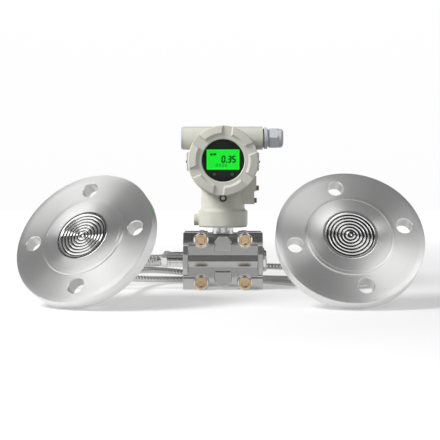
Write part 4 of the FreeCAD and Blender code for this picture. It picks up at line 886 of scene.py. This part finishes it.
# housing of the head, one casting
housingSet = {"ease": 0.9}
shell = castCopy("housingShell", "housing", housingSet["ease"])
lip = turnedPiece("bossLip", [(5.3, 38.7), (5.3, 39.45), (5.6, 39.8), (6.2, 39.8), (6.6, 39.4), (6.6, 38.2)],
                  64, loop=True)
shell = joined("housingShell", shell, settle(lip, facing("-Y", 0, 0, lockHeight)))
dressed(shell, "creamPaint", "head", "housing")
print("housing", len(shell.data.polygons))


# covers, with six raised lugs to grip
coverSet = {"radius": 43.6, "bore": 38.1, "lugInner": 34.2, "lugFoot": 31.6, "lugTop": 42.9, "slot": 11.0,
            "slotAngle": 22.0, "drop": 3.0, "crown": 1.6, "sectorSteps": 24, "slotSteps": 6, "ease": 0.45}


def gripCover(name, back, front, middleRings, floor=None):
    # lugs stand on a ring; the slots between them keep the same width inwards
    c = coverSet
    level = front - c["drop"]
    rings = [(c["bore"], floor)] if floor else []
    rings += [(c["bore"], back), (c["radius"] - 0.6, back), (c["radius"], back + 0.6), (c["radius"], level),
             (c["lugFoot"], level)] + middleRings
    cover = turnedPiece(name, rings, 6 * c["sectorSteps"], loop=floor is None)
    half = c["sectorSteps"] // 2
    slotHalf = c["slotSteps"] // 2
    sector = math.radians(60)
    for vertex in cover.data.vertices:   # slide the vertices round until the slot sides are parallel
        x, y, z = vertex.co / mm
        r = math.hypot(x, y)
        if abs(z - level) > 0.01 or r < c["lugFoot"] - 0.1:
            continue
        turn = math.atan2(y, x)
        step = turn / (sector / c["sectorSteps"])
        nearest = round(step / c["sectorSteps"])
        index = round(step - nearest * c["sectorSteps"])
        edge = math.asin(c["slot"] / 2 / r)
        if abs(index) <= slotHalf:
            offset = edge * index / slotHalf
        else:
            share = (abs(index) - slotHalf) / (half - slotHalf)
            offset = math.copysign(edge + share * (sector / 2 - edge), index)
        turn = nearest * sector + offset
        vertex.co.x, vertex.co.y = r * math.cos(turn) * mm, r * math.sin(turn) * mm
    editing(cover, "FACE")

    def lugFace(middle, normal):
        r = math.hypot(middle.x, middle.y)
        turn = math.atan2(middle.y, middle.x) % sector
        turn = min(turn, sector - turn)
        return (abs(middle.z - level) < 0.01 and c["lugFoot"] < r < c["radius"]
                and turn * r > c["slot"] / 2)
    selectWhere(cover, lugFace)
    bpy.ops.mesh.inset(thickness=1.0 * mm, depth=c["drop"] * mm, use_boundary=True)
    bpy.ops.object.mode_set(mode="OBJECT")
    # the rim stays upright, the inner wall leans more and the lug falls away outwards
    for vertex in cover.data.vertices:
        x, y, z = vertex.co / mm
        r = math.hypot(x, y)
        if z > front - 0.2:
            outside = r > c["radius"] - 3
            wanted = c["lugTop"] if outside else c["lugInner"]
            vertex.co.x *= wanted / r
            vertex.co.y *= wanted / r
            vertex.co.z = (front - (c["crown"] if outside else 0)) * mm
    settle(cover, Matrix.Rotation(math.radians(c["slotAngle"]), 4, "Z"))
    return eased(cover, c["ease"], 2, 26)


glassSeat, ringBack = 60.5, 53.7
level = 66.0 - coverSet["drop"]
windowRings = [(28.5, level), (27.9, level + 0.25), (27.3, level), (26.5, level - 1.3), (26.5, glassSeat),
               (30.8, glassSeat), (30.8, 55.5), (35.6, 55.5), (35.6, ringBack), (coverSet["bore"], ringBack)]
frontCover = settle(gripCover("frontCover", 40.5, 66.0, windowRings), facing("-Y", 0, 0, headHeight))
dressed(frontCover, "creamPaint", "front_cover", "front_cover")
print("front cover", len(frontCover.data.polygons))


# rear cover: the same grip, and a low boss in place of the window
rearFloor, level = 58.5, 64.0 - coverSet["drop"]
capRings = [(25.4, level), (24.8, level + 0.3), (24.0, level + 1.6), (23.4, level + 2.0), (0, level + 2.0)]
rearCover = gripCover("rearCover", 44.5, 64.0, capRings, floor=rearFloor)
dressed(settle(rearCover, facing("+Y", 0, 0, headHeight)), "creamPaint", "rear_cover", "rear_cover")
print("rear cover", len(rearCover.data.polygons))

windowSet = {"radius": 30.4, "back": 55.5, "front": 60.5, "break": 0.4,
             "ringInner": 28.0, "ringOuter": 35.3}
w = windowSet
pane = turnedPiece("windowPane", [(w["radius"] - w["break"], w["back"]),
                                  (w["radius"], w["back"] + w["break"]),
                                  (w["radius"], w["front"] - w["break"]),
                                  (w["radius"] - w["break"], w["front"])], 96)
dressed(settle(pane, facing("-Y", 0, 0, headHeight)), "windowGlass", "front_cover", "window_glass")
ring = turnedPiece("windowRing", [(w["ringInner"], 53.9), (w["ringInner"] + 0.3, 53.7), (35.0, 53.7),
                                  (w["ringOuter"], 54.0), (w["ringOuter"], 55.5), (w["ringInner"], 55.5)],
                   96, loop=True)
dressed(settle(ring, facing("-Y", 0, 0, headHeight)), "blackPlastic", "front_cover", "window_ring")
print("covers and window in")


# display module, its panel and the figures on it
displaySet = {"front": 51.4, "bezel": 33.0, "can": 31.0, "back": 30.4, "wide": 41.4, "tall": 25.8,
              "face": 52.7, "panelWide": 41.0, "panelTall": 25.2, "rise": 1.4,
              "screwX": 11.2, "screwZ": 17.3}
d = displaySet
module = turnedPiece("displayModule", [(d["can"] - 0.8, d["back"]), (d["can"], d["back"] + 0.8),
                                       (d["can"], 48.4), (d["bezel"] - 0.4, 48.4), (d["bezel"], 48.8),
                                       (d["bezel"], d["front"] - 0.6), (d["bezel"] - 0.6, d["front"])], 96)
cutAway(module, blockPiece("pocket", d["wide"], d["tall"], 6, 0, d["rise"], d["front"] + 3 - 0.9))
for x in (-d["screwX"], d["screwX"]):
    drill = turnedPiece("drill", [(1.7, 40), (1.7, 51), (2.3, 52)], 24)
    cutAway(module, settle(drill, Matrix.Translation(Vector((x, -d["screwZ"], 0)) * mm)))
settle(smoothed(module, 30), facing("-Y", 0, 0, headHeight))
dressed(module, "blackPlastic", "head", "display_module")

screws = []
for x in (-d["screwX"], d["screwX"]):
    screw = turnedPiece("displayScrew", [(1.5, 42.4), (1.5, d["front"]), (2.0, d["front"]), (2.2, 51.6),
                                         (2.0, 51.9), (1.3, 52.15), (0.6, 52.2), (0, 52.2)], 32)
    for turn in (20, 110):
        slot = blockPiece("slot", 3.2, 0.5, 1.0, 0, 0, 52.3)
        cutAway(screw, settle(slot, Matrix.Rotation(math.radians(turn), 4, "Z")))
    screws.append(settle(screw, facing("-Y", x, 0, headHeight - d["screwZ"])))
dressed(joined("displayScrews", *screws), "blackSteel", "head", "display_screws")

panel = blockPiece("displayPanel", d["panelWide"], d["panelTall"], 2.2, 0, d["rise"], d["face"] - 1.1)
eased(panel, 0.25, 2)
field = blockPiece("displayField", d["panelWide"] - 3.2, d["panelTall"] - 3.2, 0.1, 0, d["rise"], d["face"])
eased(field, 0.04, 1)
dressed(settle(panel, facing("-Y", 0, 0, headHeight)), "greenDisplay", "head", "display_panel")
dressed(settle(field, facing("-Y", 0, 0, headHeight)), "greenField", "head")

# each figure is drawn from seven bars: a top, b and c right, d bottom, e and f left, g middle
figureSet = {"high": 7.3, "wide": 3.3, "bar": 1.75, "pitch": 5.5, "left": -1.2, "low": -3.2, "lean": 0.10,
             "gap": 0.30, "faintHigh": 3.6, "faintWide": 2.0, "faintBar": 0.6, "faintPitch": 3.9,
             "faintLeft": -8.8, "faintLow": -9.0}
barsOf = {"0": "abcdef", "3": "abcdg", "5": "acdfg", "8": "abcdefg"}


def figureRow(name, figures, left, low, high, wide, bar, pitch):
    half = high / 2
    places = {"a": (wide / 2, high, False), "g": (wide / 2, half, False), "d": (wide / 2, 0, False),
              "b": (wide, half * 1.5, True), "c": (wide, half * 0.5, True),
              "e": (0, half * 0.5, True), "f": (0, half * 1.5, True)}
    bars, x = [], left
    for figure in figures:
        if figure == ".":
            bars.append(blockPiece("dot", bar, bar, 0.12, x - pitch + wide + 1.3 * bar, low + 0.1, 0))
            x += 1.2 * bar
            continue
        for key in barsOf[figure]:
            across, up, upright = places[key]
            long = (half if upright else wide) - figureSet["gap"]
            size = (bar, long) if upright else (long, bar)
            piece = blockPiece("bar", size[0], size[1], 0.12,
                               x + across + figureSet["lean"] * (up - half), low + up, 0)
            bars.append(eased(piece, bar * 0.3, 1))
        x += pitch
    row = joined(name, *bars)
    return settle(row, facing("-Y", 0, -d["face"] - 0.1, headHeight + d["rise"]))


f = figureSet
reading = figureRow("displayReading", "0.35", f["left"], f["low"], f["high"], f["wide"], f["bar"], f["pitch"])
markA = blockPiece("mark", 3.0, 2.7, 0.12, -14.6, 6.3, 0)
markB = blockPiece("mark", 3.5, 2.5, 0.12, -10.4, 6.6, 0)
marks = [settle(eased(mark, 0.6, 2), facing("-Y", 0, -d["face"] - 0.1, headHeight + d["rise"]))
         for mark in (markA, markB)]
dressed(joined("displayReading", reading, *marks), "inkSegments", "head")
faintRow = figureRow("faintSegments", "8888", f["faintLeft"], f["faintLow"], f["faintHigh"], f["faintWide"],
                     f["faintBar"], f["faintPitch"])
dressed(faintRow, "faintSegments", "head")
print("display lit")


# cable gland and blank plug at the ends of the conduit arms
glandSet = {"arm": 52.0, "axis": headHeight + 31.2, "neck": 1.9, "grooveEnd": 8.7, "across": 25.0,
            "nutEnd": 19.9, "end": 26.9, "dome": 12.4, "mouth": 6.5}
g = glandSet
washer = turnedPiece("glandWasher", [(10.3, 0.05), (12.3, 0.05), (12.6, 0.4), (12.6, 1.5), (12.3, 1.85),
                                     (10.3, 1.85)], 72, loop=True)
dressed(settle(washer, facing("+X", g["arm"], 0, g["axis"])), "nylonDark", "head", "gland_washer")
body = turnedPiece("glandBody", [(6.2, -12), (9.7, -12), (9.9, -11.6), (9.9, 1.9), (13.8, 1.9), (14.2, 2.3),
                                 (14.2, 3.7), (13.7, 3.9), (13.7, 4.3), (14.2, 4.5), (14.2, 5.7), (13.8, 6.1),
                                 (11.4, 6.1), (11.4, 8.4), (9.6, 8.4), (9.6, 18.9), (8.4, 18.9), (8.4, 6.1),
                                 (6.2, 6.1)], 96, loop=True)
dressed(settle(body, facing("+X", g["arm"], 0, g["axis"])), "nylon", "head", "gland_body")
nut = hexPrism("glandNut", g["across"], g["grooveEnd"], g["end"])
corner = g["across"] / math.sqrt(3)
keptInside(nut, turnedPiece("form", [(corner - 0.9, g["grooveEnd"]), (corner + 0.2, g["grooveEnd"] + 0.9),
                                     (corner + 0.2, g["nutEnd"] - 1.3), (12.7, g["nutEnd"]),
                                     (g["dome"], g["nutEnd"] + 0.4), (g["dome"], 23.4), (12.1, 24.5),
                                     (11.4, 25.6), (10.4, 26.4), (9.2, g["end"])], 96))
cutAway(nut, turnedPiece("hollow", [(9.7, 7), (9.7, 19.9), (g["mouth"], 24.9), (g["mouth"], 26.2),
                                    (g["mouth"] + 1.6, 27.8)], 96))
nut = eased(nut, 0.2, 2, 24)
dressed(settle(nut, facing("+X", g["arm"], 0, g["axis"], 0)), "nylon", "gland_nut", "gland_nut")
seal = turnedPiece("glandSeal", [(4.5, 6.4), (8.1, 6.4), (8.1, 18.8), (5.3, 18.8), (4.5, 18.0)],
                   64, loop=True)
dressed(settle(seal, facing("+X", g["arm"], 0, g["axis"])), "rubber", "head", "gland_seal")
plug = turnedPiece("conduitPlug", [(9.5, -12), (9.9, -11.6), (9.9, 0.02), (13.9, 0.02), (14.3, 0.5),
                                   (14.3, 2.2), (14.0, 2.7), (13.4, 3.0), (11.6, 3.0), (11.2, 2.6)], 96)
cutAway(plug, hexPrism("key", 9.0, 1.0, 4.0))
print("conduit plug", len(plug.data.polygons))
dressed(settle(smoothed(plug, 28), facing("-X", -g["arm"], 0, g["axis"])), "nylon", "conduit_plug",
        "conduit_plug")
print("conduit entries closed")


# small screws, plates and rivets of the head
screwSet = {"seats": ((43.6, 130.0), (40.8, 113.7)), "land": 46.2,
            "plateWide": 28.0, "plateTall": 22.0, "plateThick": 0.8, "rivetPitch": 22.0, "capSeat": 42.2,
            "capThick": 1.4, "capWide": 20.0, "capTall": 19.6, "capLow": 126.0, "lockFront": 39.2,
            "lugHeight": 88.5, "lugStart": 14.1}
s = screwSet
screws = []
for seat, height in s["seats"]:
    screw = turnedPiece("sideScrew", [(1.7, -8), (1.9, -7.8), (1.9, 0.02), (3.1, 0.02), (3.3, 0.25),
                                      (3.3, 3.0), (3.1, 3.45), (2.6, 3.7), (1.8, 3.8)], 40)
    cutAway(screw, blockPiece("slot", 8, 0.9, 2.4, 0, 0, 3.8))
    screws.append(settle(smoothed(screw, 28), facing("+X", seat, 0, height, 35)))
dressed(joined("sideScrews", *screws), "bronzedSteel", "head", "side_screws")

plates, rivets = [], []
for side, way in ((-1, "-X"), (1, "+X")):
    thick = s["plateThick"]
    plate = blockPiece("sidePlate", s["plateTall"], s["plateWide"], thick, 0, 0, thick / 2)
    for spot in (-1, 1):
        drill = turnedPiece("drill", [(1.45, -1), (1.45, 2)], 24)
        cutAway(plate, settle(drill, Matrix.Translation(Vector((0, spot * s["rivetPitch"] / 2, 0)) * mm)))
    plates.append(settle(eased(plate, 0.22, 2, 40), facing(way, side * s["land"], 0, headHeight)))
    for spot in (-1, 1):
        rivet = turnedPiece("plateRivet", [(1.2, -2.4), (1.2, 0.82), (1.6, 0.82), (1.6, 1.2), (1.4, 1.7),
                                           (1.0, 2.05), (0.5, 2.2)], 28)
        rivets.append(settle(rivet, facing(way, side * s["land"], spot * s["rivetPitch"] / 2, headHeight)))
dressed(joined("sidePlates", *plates), "thinPlate", "head", "side_plates")
dressed(joined("plateRivets", *rivets), "darkSteel", "head", "plate_rivets")

cap = blockPiece("adjusterPlate", s["capTall"], s["capWide"], s["capThick"], 0, 0, s["capThick"] / 2)
drill = turnedPiece("drill", [(2.0, -1), (2.0, 3)], 28)
lift = s["capLow"] + s["capTall"] / 2
cutAway(cap, settle(drill, Matrix.Translation(Vector((lift - s["seats"][0][1], 0, 0)) * mm)))
settle(eased(cap, 0.3, 2, 40), facing("+X", s["capSeat"], 0, lift))
dressed(cap, "creamPaint", "adjuster_plate", "adjuster_plate")

lock = turnedPiece("coverLockScrew", [(3.7, -7.95), (3.95, -7.7), (3.95, 0.05), (4.4, 0.05), (4.7, 0.3),
                                      (4.7, 0.9), (4.2, 1.0), (3.6, 0.5), (3.3, -0.6), (2.4, -0.6)], 48)
core = turnedPiece("lockCore", [(2.7, -0.5), (2.7, 0.6), (2.3, 0.98), (1.7, 0.98)], 40)
cutAway(core, hexPrism("key", 2.4, 0.1, 2.0))
lockPlace = facing("-Y", 0, -s["lockFront"], lockHeight, 15)
dressed(settle(smoothed(lock, 28), lockPlace), "darkSteel", "cover_lock_screw", "cover_lock_screw")
dressed(settle(smoothed(core, 28), lockPlace), "lockSteel", "cover_lock_screw")
lug = turnedPiece("rotationScrew", [(2.3, 0.1), (2.5, 0.4), (2.5, 23.2), (2.2, 23.7)], 32)
cutAway(lug, hexPrism("key", 2.2, 21.7, 25.0))
dressed(settle(smoothed(lug, 28), facing("-X", -s["lugStart"], 0, s["lugHeight"])), "zincSteel", "head",
        "rotation_lock_screw")
print("screws, plates and rivets in")


# pale floor, white to the eye far out, with the shadow kept
floorSet = {"size": 8.0, "tone": 0.55, "near": 0.37, "far": 0.94, "nearAt": 0.30, "farAt": 1.7}
bpy.ops.mesh.primitive_plane_add(size=floorSet["size"], location=(0, 0, -0.0003))
floor = bpy.context.object
floor.name = "paleFloor"
finish = newFinish("paleFloor", (floorSet["tone"],) * 3, 0.0, 0.9)
tree = finish.node_tree
link = tree.links.new
shader = tree.nodes["Principled BSDF"]
shader.inputs["Specular IOR Level"].default_value = 0.0
where = newNode(tree, "TexCoord")
away = newNode(tree, "VectorMath", operation="LENGTH")
fade = newNode(tree, "MapRange")
fade.inputs["From Min"].default_value = floorSet["nearAt"]
fade.inputs["From Max"].default_value = floorSet["farAt"]
fade.inputs["To Min"].default_value = floorSet["near"]
fade.inputs["To Max"].default_value = floorSet["far"]
path = newNode(tree, "LightPath")
seenBy = newNode(tree, "Math", operation="MAXIMUM")
seenToo = newNode(tree, "Math", operation="MAXIMUM")
glow = newNode(tree, "Math", operation="MULTIPLY")
link(where.outputs["Object"], away.inputs[0])
link(away.outputs["Value"], fade.inputs["Value"])
link(path.outputs["Is Camera Ray"], seenBy.inputs[0])
link(path.outputs["Is Glossy Ray"], seenBy.inputs[1])
link(seenBy.outputs[0], seenToo.inputs[0])
link(path.outputs["Is Transmission Ray"], seenToo.inputs[1])
link(seenToo.outputs[0], glow.inputs[0])
link(fade.outputs["Result"], glow.inputs[1])
link(glow.outputs[0], shader.inputs["Emission Strength"])
shader.inputs["Emission Color"].default_value = (1, 1, 1, 1)
floor.data.materials.append(finish)
